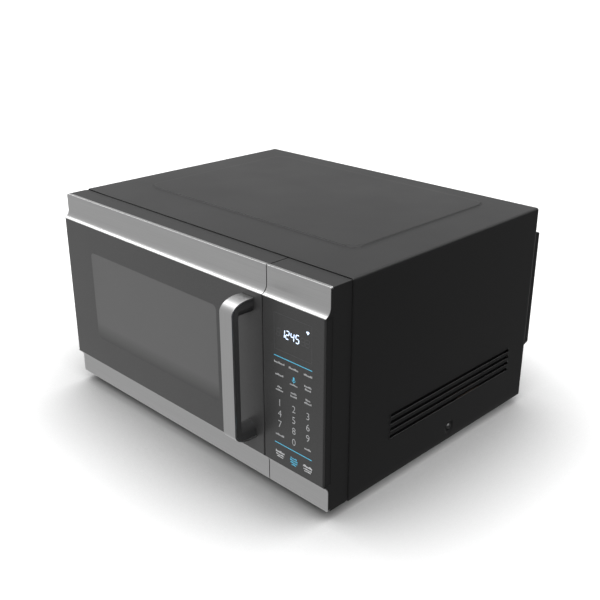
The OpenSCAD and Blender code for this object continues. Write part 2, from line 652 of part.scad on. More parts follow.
module cooling_fan() color([0.3, 0.3, 0.3]) body() {
    rod_y(2.5, fan_x, rear_y - 48, rear_y - 9, fan_z);
    rod_y(13, fan_x, rear_y - 46, rear_y - 30, fan_z);
    for (a = [0 : 60 : 300]) translate([fan_x, rear_y - 38, fan_z]) rotate([0, a, 0])
        translate([10, 0, 0]) rotate([35, 0, 0]) translate([0, -0.9, -11]) cube([fan_h - 21, 1.8, 22]);
}

// ---- convection parts, axis along Y

module convection_housing() color("silver") body() difference() {
    union() {
        rod_y(conv_r, cx, cav_y1 + sheet, cav_y1 + 30, cz);
        rod_y(conv_r + 8, cx, cav_y1 + sheet, cav_y1 + 2 * sheet, cz);
    }
    rod_y(conv_r - sheet, cx, cav_y1, cav_y1 + 30 - sheet, cz);
    rod_y(8, cx, cav_y1 + 20, cav_y1 + 40, cz);
    for (s = [-10, 10]) rod_y(4, cx + s, cav_y1 + 20, cav_y1 + 40, cz + 0.83 * conv_r);
}

module convection_heater() color([0.25, 0.22, 0.2]) body() {
    translate([cx, cav_y1 + 12, cz]) rotate([-90, 0, 0]) rotate_extrude()
        translate([0.83 * conv_r, 0]) circle(3.5);
    for (s = [-10, 10]) rod_y(3.5, cx + s, cav_y1 + 10, cav_y1 + 34, cz + 0.83 * conv_r);
}

module convection_motor() color("silver") body() difference() {
    union() {
        rod_y(34, cx, cav_y1 + 32, cav_y1 + 62, cz);
        rod_y(44, cx, cav_y1 + 30, cav_y1 + 32.5, cz);
    }
    rod_y(3 + run_fit, cx, cav_y1 + 29, cav_y1 + 52, cz);
}

module convection_fan() color("silver") body() {
    rod_y(3, cx, cav_y1 + 6, cav_y1 + 51, cz);
    rod_y(0.62 * conv_r, cx, cav_y1 + 21, cav_y1 + 22.2, cz);
    rod_y(10, cx, cav_y1 + 10, cav_y1 + 22, cz);
    for (a = [0 : 30 : 330]) translate([cx, 0, cz]) rotate([0, a, 0])
        translate([0.3 * conv_r, 0, 0]) rotate([0, 20, 0])
            bx(0, 0.29 * conv_r, cav_y1 + 7, cav_y1 + 21 + e, -0.6, 0.6);
}

module convection_grille() color("silver") body() difference() {
    rod_y(0.84 * conv_r, cx, cav_y1 - 1.5, cav_y1, cz);
    for (k = [1 : 4], i = [0 : 6 * k - 1]) translate([cx, 0, cz]) rotate([0, i * 360 / (6 * k), 0])
        rod_y(3.2, k * 0.16 * conv_r, cav_y1 - 3, cav_y1 + 1, 0);
}

// ---- door

// plan of the door from a front line y0, its rear hinge edge turned about the pin
module door_plan(y0) {
    translate([fx0, y0]) square([door_x1 - fx0, hinge_y - y0]);
    translate([hinge_x, y0]) square([door_x1 - hinge_x, door_t - y0]);
    translate([hinge_x, hinge_y]) circle(hinge_r);
}

module hinge_room(x1) for (z = [arm_z0, arm_z1])
    bx(fx0 - 2, x1, hinge_y - 8, door_t + 2, z - 0.6, z + arm_t + 0.6);

module door_frame() color([0.1, 0.1, 0.1]) body() difference() {
    union() {
        difference() {
            union() {
                along_z(0.5, fz1 - 0.5) door_plan(trim_b);
                bx(fx0 + 0.5, door_x1, glass_t, glass_t + 20, gz0 + 0.3, gz1 - 0.3);
            }
            bx(fx0 + wall, door_x1 - wall, trim_b + wall, door_t + 1, 0.5 + wall, fz1 - 0.5 - wall);
            bx(fx0 + 0.5 + wall, door_x1 - wall, glass_t + wall, trim_b + wall + 1,
                gz0 + 0.3 + wall, gz1 - 0.3 - wall);
        }
        for (z = [[0.5, 30], [fz1 - 30, fz1 - 0.5]]) intersection() {
            bx(fx0, hinge_x + 10, hinge_y - 8, door_t + 1, z[0], z[1]);
            along_z(0, body_h) door_plan(trim_b);
        }
        bx(lx0 - 4, lx1 + 4, glass_t + wall - e, lpy + 4, latch_z0 - 24, latch_z0 - 20);
        for (z = [latch_z0 + 40, latch_z1 - 50])
            bx(lx0 - 4, lx1 + 4, glass_t + wall - e, lpy - 0.2, z, z + 10);
    }
    along_y(0, trim_b + wall + 1) rr(wx0 - 4, wx1 + 4, wz0 - 4, wz1 + 4, win_r);
    hinge_room(hinge_x + 7);
    rod_z(pin_r + run_fit, hinge_x, hinge_y, arm_z0, arm_z0 + arm_t + 11.6);
    rod_z(pin_r + run_fit, hinge_x, hinge_y, arm_z1 - 11.6, arm_z1 + 1);
    for (z = handle_screw_z) rod_y(2.2, hxc, 0, glass_t + wall + 2, z);
}

module door_glass() color([0.12, 0.12, 0.13]) body() difference() {
    along_z(gz0 + 0.2, gz1 - 0.2) pane_2d(fx0 + 1, door_x1);
    for (z = handle_screw_z) rod_y(2.2, hxc, -1, glass_t + 1, z);
}

module door_trim_top() color("silver") body() trim_top(fx0, door_x1);

module door_trim_bottom() color("silver") body() trim_low(fx0, door_x1);

module door_inner_panel() color("gray") body() difference() {
    union() {
        bx(fx0 + wall + 0.3, door_x1 - wall - 0.3, liner_y, liner_y + sheet,
            0.5 + wall + 0.3, fz1 - 0.8 - wall);
        difference() {
            bx(cav_x0 - 8, cav_x1 + 8, liner_y, door_t - choke_t - 0.1, cav_z0 - 8, cav_z1 + 8);
            bx(cav_x0 - 8 + sheet, cav_x1 + 8 - sheet, liner_y - 1, door_t,
                cav_z0 - 8 + sheet, cav_z1 + 8 - sheet);
        }
        difference() {
            bx(wx0 - 16, wx1 + 16, liner_y, door_t - choke_t - 0.1, wz0 - 16, wz1 + 16);
            bx(wx0 - 16 + sheet, wx1 + 16 - sheet, liner_y - 1, door_t, wz0 - 16 + sheet, wz1 + 16 - sheet);
        }
    }
    along_y(liner_y - 2, liner_y + 4) rr(wx0, wx1, wz0, wz1, win_r);
    for (z = [hook_lo, hook_hi])
        bx(lx0 - 0.5, lx1 + 0.5, liner_y - 2, door_t, z - barb - 0.6, z + hook_h + latch_go + 0.6);
}

module door_screen() color([0.3, 0.3, 0.3]) body() difference() {
    bx(wx0 - 6, wx1 + 6, liner_y + sheet, liner_y + sheet + 0.8, wz0 - 6, wz1 + 6);
    px = (wx1 - wx0) / 16;
    pz = (wz1 - wz0) / 8;
    for (i = [0 : 15], j = [0 : 7])
        translate([wx0 + (i + 0.22) * px, liner_y + sheet - 1, wz0 + (j + 0.22) * pz])
            cube([0.56 * px, 4, 0.56 * pz]);
}

module door_inner_glass() color([0.6, 0.7, 0.7, 0.4]) body()
    bx(wx0 - 14, wx1 + 14, door_t - choke_t - 2.6, door_t - choke_t - 0.1, wz0 - 14, wz1 + 14);

module choke_cover() color([0.12, 0.12, 0.12]) body() difference() {
    bx(fx0 + wall + 0.3, door_x1 - wall - 0.3, door_t - choke_t, door_t, 0.8 + wall, fz1 - 0.8 - wall);
    along_y(door_t - 3, door_t + 1) rr(wx0 - 4, wx1 + 4, wz0 - 4, wz1 + 4, win_r);
    for (z = [hook_lo, hook_hi])
        bx(lx0 - 0.6, lx1 + 0.6, door_t - 3, door_t + 1, z - barb - 0.6, z + hook_h + latch_go + 0.6);
    for (z = [-1, fz1 - 30.3]) bx(fx0, hinge_x + 10.3, door_t - 4, door_t + 1, z, z + 31.3);
}

module latch_plate() color("white") body() {
    bx(lx0, lx1, lpy, lpy + 3.5, latch_z0, latch_z1);
    for (z = [hook_lo, hook_hi]) along_x(lx0 + 1, lx1 - 1) polygon([[lpy + 1, z], [hook_y - 5, z],
        [hook_y - 5, z - barb], [hook_y - 3, z - barb], [hook_y, z + 1.5], [hook_y, z + hook_h - 2],
        [hook_y - 4, z + hook_h], [lpy + 1, z + hook_h]]);
}

module latch_spring() color("silver") body() translate([(lx0 + lx1) / 2, lpy + 1.8, latch_z0 - 20]) {
    for (i = [0 : 6]) translate([0, 0, 0.9 + i * 3]) rotate_extrude() translate([3, 0]) circle(0.7);
    translate([3, 0, 0.6]) cylinder(r = 0.6, h = 18.6);
}

// side view of the handle: slim bar on two feet, outer corners drawn as quarter ovals
module handle_2d(k, deep, tall) polygon(concat(
    [[0, hz0 + k]],
    [for (a = [0 : 9 : 90]) [-handle_reach + deep - (deep - k) * sin(a), hz0 + tall - (tall - k) * cos(a)]],
    [for (a = [90 : -9 : 0]) [-handle_reach + deep - (deep - k) * sin(a), hz1 - tall + (tall - k) * cos(a)]],
    [[0, hz1 - k]]));

// foot section beside the glass: flat outwards, round towards the hand
module foot_2d(z_out, z_in) {
    r = handle_w / 2 - handle_tuck;
    z_mid = z_in + (z_out < z_in ? -r : r);
    translate([hx0 + handle_tuck, min(z_out, z_mid)]) square([2 * r, abs(z_mid - z_out)]);
    translate([hxc, z_mid]) circle(r);
}

module handle_body() color([0.1, 0.1, 0.1]) body() difference() {
    intersection() {
        along_x(hx0 + handle_tuck, hx1 - handle_tuck) handle_2d(strap_t, 25, 15);
        union() {
            bx(hx0, hx1, -handle_reach, -handle_reach + handle_bar, hz0, hz1);
            along_y(-handle_reach + 2, 0) foot_2d(hz0, hz0 + handle_foot);
            along_y(-handle_reach + 2, 0) foot_2d(hz1, hz1 - handle_foot);
        }
    }
    for (z = handle_screw_z) rod_y(1.9, hxc, -13, 1, z);
}

module handle_strap() color("silver") body() along_x(hx0, hx1) difference() {
    handle_2d(0, 25, 15);
    translate([e, 0]) handle_2d(strap_t - e, 25, 15);
    translate([-0.6, 0]) square([2, body_h]);
}

module handle_screws() color("silver") body() for (z = handle_screw_z) {
    rod_y(1.9 - run_fit, hxc, -12.5, glass_t + wall + 0.5, z);
    rod_y(4, hxc, glass_t + wall, glass_t + wall + 2.4, z);
}

base_plate();
feet();
cabinet_cover();
cover_screws();
rear_panel();
rear_cover();
cavity_wrap();
cavity_floor();
cavity_back();
front_plate();
hinges();
control_housing();
control_glass();
control_trim_top();
control_trim_bottom();
display_module();
touch_board();
control_board();
latch_bracket();
door_switches();
plunger_lower();
plunger_upper();
turntable_motor();
magnetron();
waveguide();
waveguide_cover();
transformer();
capacitor();
rectifier_diode();
fan_shroud();
fan_motor();
cooling_fan();
filter_board();
cord_gland();
oven_lamp();
thermal_cutouts();
convection_housing();
convection_heater();
convection_motor();
convection_fan();
convection_grille();
coupler();
glass_tray();
roller_ring();
roller_1();
roller_2();
roller_3();
door_frame();
door_glass();
door_trim_top();
door_trim_bottom();
door_inner_panel();
door_screen();
door_inner_glass();
choke_cover();
latch_plate();
latch_spring();
handle_body();
handle_strap();
handle_screws();
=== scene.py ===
# %% [markdown]
# A countertop oven, dressed for its portrait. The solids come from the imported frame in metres,
# +Z up, with the door facing -Y. Everything below gives those solids their finishes, replaces the
# few that need softer or finer shapes, and lights the result like a studio product picture.

# %% Load the frame
import json
import math

import bmesh
import bpy
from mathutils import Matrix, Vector


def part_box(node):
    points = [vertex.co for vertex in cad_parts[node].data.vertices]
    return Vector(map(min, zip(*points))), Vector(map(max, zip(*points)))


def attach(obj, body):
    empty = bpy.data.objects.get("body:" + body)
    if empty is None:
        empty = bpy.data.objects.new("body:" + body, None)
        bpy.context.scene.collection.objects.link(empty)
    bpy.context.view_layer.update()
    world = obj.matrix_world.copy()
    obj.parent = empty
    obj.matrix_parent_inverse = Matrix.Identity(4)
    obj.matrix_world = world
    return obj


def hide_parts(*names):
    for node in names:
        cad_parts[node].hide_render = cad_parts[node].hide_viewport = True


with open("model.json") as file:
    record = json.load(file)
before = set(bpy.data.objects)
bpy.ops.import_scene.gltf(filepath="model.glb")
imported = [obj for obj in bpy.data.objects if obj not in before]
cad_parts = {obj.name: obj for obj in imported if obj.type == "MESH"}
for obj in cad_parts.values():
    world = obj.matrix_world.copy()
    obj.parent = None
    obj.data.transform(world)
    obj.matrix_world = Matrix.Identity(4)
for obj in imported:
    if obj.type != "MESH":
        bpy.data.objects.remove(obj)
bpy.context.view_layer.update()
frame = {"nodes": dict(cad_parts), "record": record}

# %% [markdown]
# All sizes are spoken in millimetres, as on a workshop drawing, and turned into metres once, by MM.
# The lines that the oven is laid out on are read from the frame: the cabinet, the door glass, the
# control glass and the trims.

# %% Layout lines
MM = 0.001


def edges(node):
    """Low and high corner of a CAD node, in millimetres."""
    low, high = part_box(node)
    return [v / MM for v in low], [v / MM for v in high]


(cab_l, cab_f, cab_b), (cab_r, cab_k, cab_top) = edges("cabinet_cover")
(door_l, _, glass_b), (door_r, _, glass_t) = edges("door_glass")
(pane_l, _, _), (pane_r, _, _) = edges("control_glass")
(screen_l, screen_y, screen_b), (screen_r, _, screen_t) = edges("door_screen")
PRESSED = 1.5                      # the top field stands this far above the roof
SHEET = 1.2                        # thickness of the folded steel
roof = cab_top - PRESSED
print("cabinet x", round(cab_l, 1), round(cab_r, 1), "y", round(cab_f, 1), round(cab_k, 1))
print("roof at", round(roof, 1))
print("door glass x", round(door_l, 1), round(door_r, 1), "z", round(glass_b, 1), round(glass_t, 1))

# %% [markdown]
# Every finish is a small node graph around one Principled shader. A helper class keeps the graphs
# short: it makes nodes, joins sockets and knows the few patterns that finishes are built from, such
# as grain, brushing and a bump. Patterns use Object coordinates, so they stick to a piece as it moves.

# %% Finish helper
class Finish:
    def __init__(self, name, base, rough, metal=0.0, spec=0.5):
        self.mat = bpy.data.materials.new(name)
        self.mat.use_nodes = True
        self.tree = self.mat.node_tree
        self.shader = self.tree.nodes["Principled BSDF"]
        self.set("Base Color", (*base, 1.0))
        self.set("Roughness", rough)
        self.set("Metallic", metal)
        self.set("Specular IOR Level", spec)
        self.coords = self.tree.nodes.new("ShaderNodeTexCoord").outputs["Object"]

    def set(self, socket, value):
        self.shader.inputs[socket].default_value = value

    def node(self, kind, _join=(), **values):
        made = self.tree.nodes.new("ShaderNode" + kind)
        for key, value in values.items():
            if hasattr(made, key):
                setattr(made, key, value)
            else:
                made.inputs[key.replace("_", " ")].default_value = value
        for socket, source in dict(_join).items():
            self.tree.links.new(source, made.inputs[socket])
        return made

    def stretched(self, scale):
        """Object coordinates scaled per axis, in repeats per metre."""
        return self.node("Mapping", {"Vector": self.coords}, Scale=scale).outputs["Vector"]

    def noise(self, scale, detail=2.0, stretch=None, rough=0.5):
        where = self.stretched(stretch) if stretch else self.coords
        made = self.node("TexNoise", {"Vector": where}, Scale=scale, Detail=detail, Roughness=rough)
        return made.outputs["Fac"]

    def ramp(self, source, stops):
        made = self.node("ValToRGB", {"Fac": source})
        marks = made.color_ramp.elements
        while len(marks) < len(stops):
            marks.new(0.5)
        for mark, (at, colour) in zip(marks, stops):
            mark.position = at
            mark.color = (*colour, 1.0) if isinstance(colour, tuple) else (colour, colour, colour, 1.0)
        return made.outputs["Color"]

    def range(self, source, low, high, low_in=0.3, high_in=0.7):
        return self.node("MapRange", {"Value": source}, From_Min=low_in, From_Max=high_in,
                         To_Min=low, To_Max=high).outputs["Result"]

    def join(self, source, socket):
        self.tree.links.new(source, self.shader.inputs[socket])

    def bump(self, height, strength, distance):
        made = self.node("Bump", {"Height": height}, Strength=strength, Distance=distance)
        self.join(made.outputs["Normal"], "Normal")


print("finish helper ready")

# %% [markdown]
# The cabinet, rear cover and moulded parts share a fine-grained black. Under a grazing light the
# grain breaks the reflection up, so the top looks charcoal while the sides stay near black. The
# grain is about 0.4 mm wide and 0.03 mm deep, with slight variations of tone and roughness.

# %% Black finishes
def grained_black(name, tone, rough, grain=2600, depth=0.00003, spec=0.5):
    f = Finish(name, (tone, tone, tone * 1.02), rough, spec=spec)
    fine = f.noise(grain, 3.0)
    cloud = f.noise(9, 2.0)
    dark, light = (tone * 0.8,) * 3, (tone * 1.2, tone * 1.2, tone * 1.23)
    f.join(f.ramp(fine, [(0.3, dark), (0.7, light)]), "Base Color")
    f.join(f.range(cloud, rough - 0.03, rough + 0.03), "Roughness")
    f.bump(fine, 0.4, depth)
    return f.mat


enamel = grained_black("black_enamel", 0.018, 0.46, spec=0.4)
moulded = grained_black("moulded_black", 0.019, 0.5, grain=3400, spec=0.42)
grip = grained_black("charcoal_grip", 0.06, 0.5, grain=3000, spec=0.45)
rubber = grained_black("foot_rubber", 0.012, 0.8, grain=1800, spec=0.3)
black_screw = grained_black("blackened_screw", 0.045, 0.3, grain=4000, spec=0.9)
print("black finishes made")

# %% [markdown]
# Trims and the handle strap are stainless steel with a brushed grain: very long, very thin streaks
# along the brushing direction, in both tone and roughness. A stretched noise makes them. The trims are
# brushed sideways and the strap along its length, so the direction is a parameter.

# %% Brushed steel
ALONG_X = (9, 2600, 2600)
ALONG_Z = (2600, 2600, 9)


def brushed(name, tone, rough, stretch, spread=0.07):
    f = Finish(name, (tone, tone, tone), rough, metal=1.0)
    streak = f.noise(1.0, 4.0, stretch, rough=0.6)
    f.join(f.ramp(streak, [(0.3, tone * (1 - spread)), (0.7, tone * (1 + spread))]), "Base Color")
    f.join(f.range(streak, rough - 0.03, rough + 0.04), "Roughness")
    f.bump(streak, 0.05, 0.00002)
    return f.mat


trim_steel = brushed("trim_steel", 0.53, 0.33, ALONG_X)
strap_steel = brushed("strap_steel", 0.51, 0.36, ALONG_Z)
print("brushed steel made")

# %% [markdown]
# The front glass of the door is one pane. Its back is printed black around a window, and behind the
# window there is only the tint of the glass, so the perforated screen shows through faintly. The
# print is a mask worked out from the distance to a rounded rectangle, in the pane's own millimetres.
# The mask passes from print to window within a millimetre.

# %% Window mask
WINDOW_ROUND = 7.0
SCREEN_EDGE = 6.0                  # the screen reaches this far under the print all round
win_l, win_r = screen_l + SCREEN_EDGE, screen_r - SCREEN_EDGE
win_b, win_t = screen_b + SCREEN_EDGE, screen_t - SCREEN_EDGE


def window_mask(f, soft=0.5):
    """1 inside the window, 0 on the print, from the distance to the window's rounded outline."""
    apart = f.node("SeparateXYZ", {"Vector": f.coords}).outputs

    def math_node(what, *inputs):
        made = f.tree.nodes.new("ShaderNodeMath")
        made.operation = what
        for slot_number, value in enumerate(inputs):
            if isinstance(value, (int, float)):
                made.inputs[slot_number].default_value = value
            else:
                f.tree.links.new(value, made.inputs[slot_number])
        return made.outputs[0]

    def past(axis, low, high):
        middle, half = (low + high) / 2 * MM, ((high - low) / 2 - WINDOW_ROUND) * MM
        off = math_node("ABSOLUTE", math_node("SUBTRACT", apart[axis], middle))
        return math_node("MAXIMUM", math_node("SUBTRACT", off, half), 0.0)

    over_x, over_z = past("X", win_l, win_r), past("Z", win_b, win_t)
    distance = math_node("SQRT", math_node("ADD", math_node("MULTIPLY", over_x, over_x),
                                           math_node("MULTIPLY", over_z, over_z)))
    return f.node("MapRange", {"Value": distance}, From_Min=(WINDOW_ROUND + soft) * MM,
                  From_Max=(WINDOW_ROUND - soft) * MM, To_Min=0.0, To_Max=1.0).outputs["Result"]


print("window", round(win_l, 1), round(win_r, 1), round(win_b, 1), round(win_t, 1))

# %% [markdown]
# The door glass mixes two bodies by that mask: the print, which is opaque black under glass, and the
# window, which is smoke-grey and part see-through, with painted shade towards its foot, where the
# recessed screen behind it lies in shadow. The panel glass is all print. The tray and the inner window
# are clear glass, thin enough that an alpha is a fair stand-in for refraction.

# %% Glass finishes
# Painted shade: the window's colour darkens towards its lower edge, where the screen lies in shadow.
PAINTED_SHADE_HEIGHT = 26.0                 # the window darkens over this height above its lower edge
MIX_A, MIX_B, MIXED = 6, 7, 2      # the colour sockets of a Mix node


def printed_glass(name, tone, rough, window=None):
    f = Finish(name, (tone, tone, tone), rough, spec=0.5)
    fine = f.noise(900, 2.0)
    print_tone = f.ramp(fine, [(0.3, (tone * 0.9,) * 3), (0.7, (tone * 1.12,) * 3)])
    if window:
        smoke, alpha = window
        mask = window_mask(f)
        mix = f.node("Mix", data_type="RGBA")
        f.tree.links.new(mask, mix.inputs["Factor"])
        f.tree.links.new(print_tone, mix.inputs[MIX_A])
        height = f.node("SeparateXYZ", {"Vector": f.coords}).outputs["Z"]
        # painted shade at the window's foot: the smoke tone halves towards the lower edge
        foot, full = win_b * MM, (win_b + PAINTED_SHADE_HEIGHT) * MM
        f.tree.links.new(f.range(height, smoke * 0.5, smoke, foot, full), mix.inputs[MIX_B])
        f.join(mix.outputs[MIXED], "Base Color")
        f.join(f.range(mask, 1.0, alpha, 0.0, 1.0), "Alpha")
    else:
        f.join(print_tone, "Base Color")
    f.join(f.range(f.noise(14, 2.0), rough - 0.03, rough + 0.03), "Roughness")
    return f.mat


def clear_glass(name, tint, alpha, rough):
    f = Finish(name, tint, rough, spec=0.5)
    f.join(f.range(f.noise(25, 3.0), rough, rough + 0.08), "Roughness")
    f.set("Alpha", alpha)
    f.bump(f.noise(60, 1.0), 0.02, 0.0002)
    return f.mat


border_glass = printed_glass("door_glass_print", 0.085, 0.36, window=(0.22, 0.8))
panel_glass = printed_glass("panel_glass", 0.062, 0.38)
tray_glass = clear_glass("tray_glass", (0.75, 0.85, 0.86), 0.3, 0.05)
inner_glass = clear_glass("inner_glass", (0.5, 0.53, 0.53), 0.25, 0.08)
print("glass finishes made")

# %% [markdown]
# Inside are the plain workshop materials: zinc-coated sheet with its faint spangle, speckled grey
# cavity enamel, pressed aluminium, varnished iron laminations, green circuit board, mica, white and
# red mouldings. Each is one pattern on one shader.

# %% Workshop finishes
def spangled(name, tone, rough):
    f = Finish(name, (tone, tone, tone), rough, metal=1.0)
    cells = f.node("TexVoronoi", {"Vector": f.coords}, Scale=220.0).outputs["Color"]
    f.join(f.ramp(cells, [(0.2, tone * 0.9), (0.8, tone * 1.08)]), "Base Color")
    f.bump(f.noise(500, 2.0), 0.1, 0.00005)
    return f.mat


def speckled(name, base, rough, size=700, spread=0.12):
    f = Finish(name, base, rough)
    low = tuple(c * (1 - spread) for c in base)
    high = tuple(min(1.0, c * (1 + spread)) for c in base)
    dots = f.noise(size, 3.0)
    f.join(f.ramp(dots, [(0.35, low), (0.65, high)]), "Base Color")
    f.bump(dots, 0.15, 0.00005)
    return f.mat


def laminated(name, base, rough):
    f = Finish(name, base, rough, metal=0.6)
    bands = f.node("TexWave", {"Vector": f.coords}, Scale=160.0, Distortion=0.3, bands_direction="Z")
    wave = bands.outputs["Fac"]
    dark, light = tuple(c * 0.6 for c in base), tuple(c * 1.3 for c in base)
    f.join(f.ramp(wave, [(0.2, dark), (0.8, light)]), "Base Color")
    f.bump(wave, 0.4, 0.0002)
    return f.mat


def circuit_green(name):
    f = Finish(name, (0.02, 0.12, 0.05), 0.45)
    tracks = f.node("TexBrick", {"Vector": f.coords}, Scale=55.0, Mortar_Size=0.03).outputs["Fac"]
    f.join(f.ramp(tracks, [(0.4, (0.015, 0.1, 0.04)), (0.6, (0.05, 0.22, 0.09))]), "Base Color")
    f.bump(tracks, 0.3, 0.00005)
    return f.mat


finishes = {
    "black_paint": enamel,
    "black_plastic": moulded,
    "foot_rubber": rubber,
    "trim_steel": trim_steel,
    "panel_glass": panel_glass,
    "door_glass": border_glass,
    "tray_glass": tray_glass,
    "zinc_steel": spangled("zinc_steel", 0.62, 0.38),
    "screw_steel": black_screw,
    "alu": brushed("pressed_aluminium", 0.7, 0.35, ALONG_X),
    "heater_steel": brushed("heater_sheath", 0.16, 0.45, ALONG_Z),
    "cavity_paint": speckled("cavity_enamel", (0.42, 0.42, 0.41), 0.32),
    "white_plastic": speckled("white_moulding", (0.74, 0.74, 0.71), 0.45, 1500, 0.04),
    "red_plastic": speckled("red_moulding", (0.5, 0.03, 0.025), 0.4, 1500, 0.08),
    "mica": speckled("mica_sheet", (0.5, 0.42, 0.3), 0.35, 300, 0.2),
    "core_iron": laminated("iron_laminations", (0.16, 0.12, 0.09), 0.5),
    "board_plastic": circuit_green("circuit_board"),
    "display": speckled("display_window", (0.012, 0.014, 0.018), 0.25, 900, 0.2),
}
print(len(finishes), "slots have a finish")

# %% [markdown]
# A machined or moulded edge is never perfectly sharp: it carries a tiny round that catches light. The
# door frame, control housing, grip, choke cover, feet and rear cover get it from two modifiers: Weld
# joins the split corners of the import, then Bevel rounds every edge over 30 degrees. The solid itself
# isn't touched.

# %% Dress the CAD solids
WELD_REACH = 0.002
EDGE_STEPS, EDGE_ANGLE = 2, 30


def soften(piece, width):
    weld = piece.modifiers.new("weld", "WELD")
    weld.merge_threshold = WELD_REACH * MM
    bevel = piece.modifiers.new("edge_round", "BEVEL")
    bevel.width = width * MM
    bevel.segments = EDGE_STEPS
    bevel.limit_method = "ANGLE"
    bevel.angle_limit = math.radians(EDGE_ANGLE)
    bevel.use_clamp_overlap = True
    return piece


slot_of = {part["node"]: part["material_slot"] for part in frame["record"]["subparts"]}
for name, solid in frame["nodes"].items():
    solid.data.materials.clear()
    solid.data.materials.append(finishes[slot_of[name]])
own_finish = {"handle_strap": strap_steel, "handle_body": grip, "door_inner_glass": inner_glass}
for name, finish in own_finish.items():
    frame["nodes"][name].data.materials[0] = finish
edge_rounds = {"door_frame": 0.4, "control_housing": 0.4, "handle_body": 0.8, "choke_cover": 0.4,
               "feet": 0.4, "rear_cover": 0.5}
for name, width in edge_rounds.items():
    soften(frame["nodes"][name], width)
print(len(slot_of), "solids dressed")

# %% [markdown]
# Every new piece is born the same way: points in millimetres, faces by number, one finish and one body
# to ride on. Flat closed shapes, such as printed marks, are prisms.

# %% Piece maker
def make_piece(name, points, faces, finish, body, smooth=False):
    mesh = bpy.data.meshes.new(name)
    mesh.from_pydata([[v * MM for v in point] for point in points], [], faces)
    solid = bmesh.new()
    solid.from_mesh(mesh)
    bmesh.ops.recalc_face_normals(solid, faces=solid.faces)
    solid.to_mesh(mesh)
    solid.free()
    mesh.materials.append(finish)
    if smooth:
        mesh.shade_smooth()
    piece = bpy.data.objects.new(name, mesh)
    bpy.context.collection.objects.link(piece)
    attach(piece, body)
    return piece


def add_prism(points, faces, outline, front, back):
    """A flat shape in the x, z plane, from y = front to y = back, added to a piece in the making."""
    first, count = len(points), len(outline)
    points += [(x, front, z) for x, z in outline] + [(x, back, z) for x, z in outline]
    faces.append(tuple(range(first, first + count)))
    faces.append(tuple(range(first + 2 * count - 1, first + count - 1, -1)))
    for i in range(count):
        j = (i + 1) % count
        faces.append((first + i, first + count + i, first + count + j, first + j))


def arc(cx, cz, radius, start, end, steps=6):
    turns = [math.radians(start + (end - start) * i / steps) for i in range(steps + 1)]
    return [(cx + radius * math.cos(a), cz + radius * math.sin(a)) for a in turns]


def pill(x0, x1, z0, z1, radius, steps=4):
    """Rectangle with round corners, as an outline."""
    return (arc(x1 - radius, z1 - radius, radius, 0, 90, steps)
            + arc(x0 + radius, z1 - radius, radius, 90, 180, steps)
            + arc(x0 + radius, z0 + radius, radius, 180, 270, steps)
            + arc(x1 - radius, z0 + radius, radius, 270, 360, steps))


print("piece maker ready")

# %% [markdown]
# The cabinet cover is one steel sheet, folded over two long edges and flanged at the back. The press
# also raises a field on the top, dishes the sheet around the side screws and opens four louvres in
# the right wall. In Blender it is a grid: one direction runs over the fold, the other front to back.
# Grid lines are set only where the shape bends, then each point is moved by small rules, one a feature.

# %% Cover sizes
FOLD_R = 3.5
REAR_R = 4.5
FLANGE = 14.0
FIELD = (52.0, 66.0, 74.7, 35.5)   # from the left, right, front and back of the cabinet
FIELD_R = 18.0
SHOULDER = 1.6
field_l, field_r = cab_l + FIELD[0], cab_r - FIELD[1]
field_f, field_k = cab_f + FIELD[2], cab_k - FIELD[3]
LOUVRE_H, LOUVRE_PITCH, LOUVRES = 5.2, 10.3, 4
LOUVRE_FRONT, LOUVRE_BACK = 76.2, 47.5   # from the front and the back of the cabinet
LOUVRE_UP = 90                     # height of the top louvre above the cover's lower edge
LOUVRE_LIP = 1.7                   # width of the raised lip around a louvre
LIP_HEIGHT, UPPER_LIP = 1.3, 0.5   # height of the lip, and the share of it above a louvre
louvre_f, louvre_k = cab_f + LOUVRE_FRONT, cab_k - LOUVRE_BACK
louvre_zs = [cab_b + LOUVRE_UP - i * LOUVRE_PITCH for i in range(LOUVRES)]
SCREW_BACK, SCREW_UP = 208.5, 19.0
DISH_R, DISH_DEEP, DISH_SLOPE = 9.6, 1.5, 2.2
dish_y, dish_z = cab_f + SCREW_BACK, cab_b + SCREW_UP
SEAM_FILL = 1.15                   # the rolled front edge comes this far forward, except beside the hinges
print("raised field", round(field_l), round(field_r), round(field_f), round(field_k), "louvres at", louvre_zs)

# %% [markdown]
# The rules that move the grid's points. One lifts the field on the top. The other moves a side wall in
# and out: a lip stands around each louvre, full below it and half above, and a dish sinks in around
# the screw. Every step is eased, as sheet steel can't turn a sharp corner under a press.

# %% Cover rules
def ease(t):
    t = max(0.0, min(1.0, t))
    return t * t * (3 - 2 * t)


def rise_of_field(x, y):
    """How far the press has raised the top at x, y."""
    dx = max(abs(x - (field_l + field_r) / 2) - (field_r - field_l) / 2 + FIELD_R, 0)
    dy = max(abs(y - (field_f + field_k) / 2) - (field_k - field_f) / 2 + FIELD_R, 0)
    return PRESSED * ease((FIELD_R - math.hypot(dx, dy)) / SHOULDER)


def push_of_wall(y, z, louvred):
    """How far a side wall stands out at y, z: lips around louvres, a dish around the screw."""
    push = -DISH_DEEP * ease((DISH_R - math.hypot(y - dish_y, z - dish_z)) / DISH_SLOPE)
    if louvred:
        for slot_z in louvre_zs:
            dz = max(abs(z - slot_z) - LOUVRE_H / 2, 0)
            dy = max(louvre_f - y, y - louvre_k, 0)
            side = 1.0 if z < slot_z else UPPER_LIP
            push += side * LIP_HEIGHT * ease(1 - math.hypot(dy, dz) / LOUVRE_LIP)
    return push


def around(centre, reach, count):
    return [centre + reach * (2 * i / count - 1) for i in range(count + 1)]


print("field rises", round(rise_of_field(0, 0), 2), "mm")
print("wall at the screw moves", round(push_of_wall(dish_y, dish_z, False), 2), "mm")

# %% [markdown]
# The grid's lines. Over the fold they go up the left wall, round the left fold, across the top, round
# the right fold and down the right wall. Front to back they end in the rear bend and the flange.

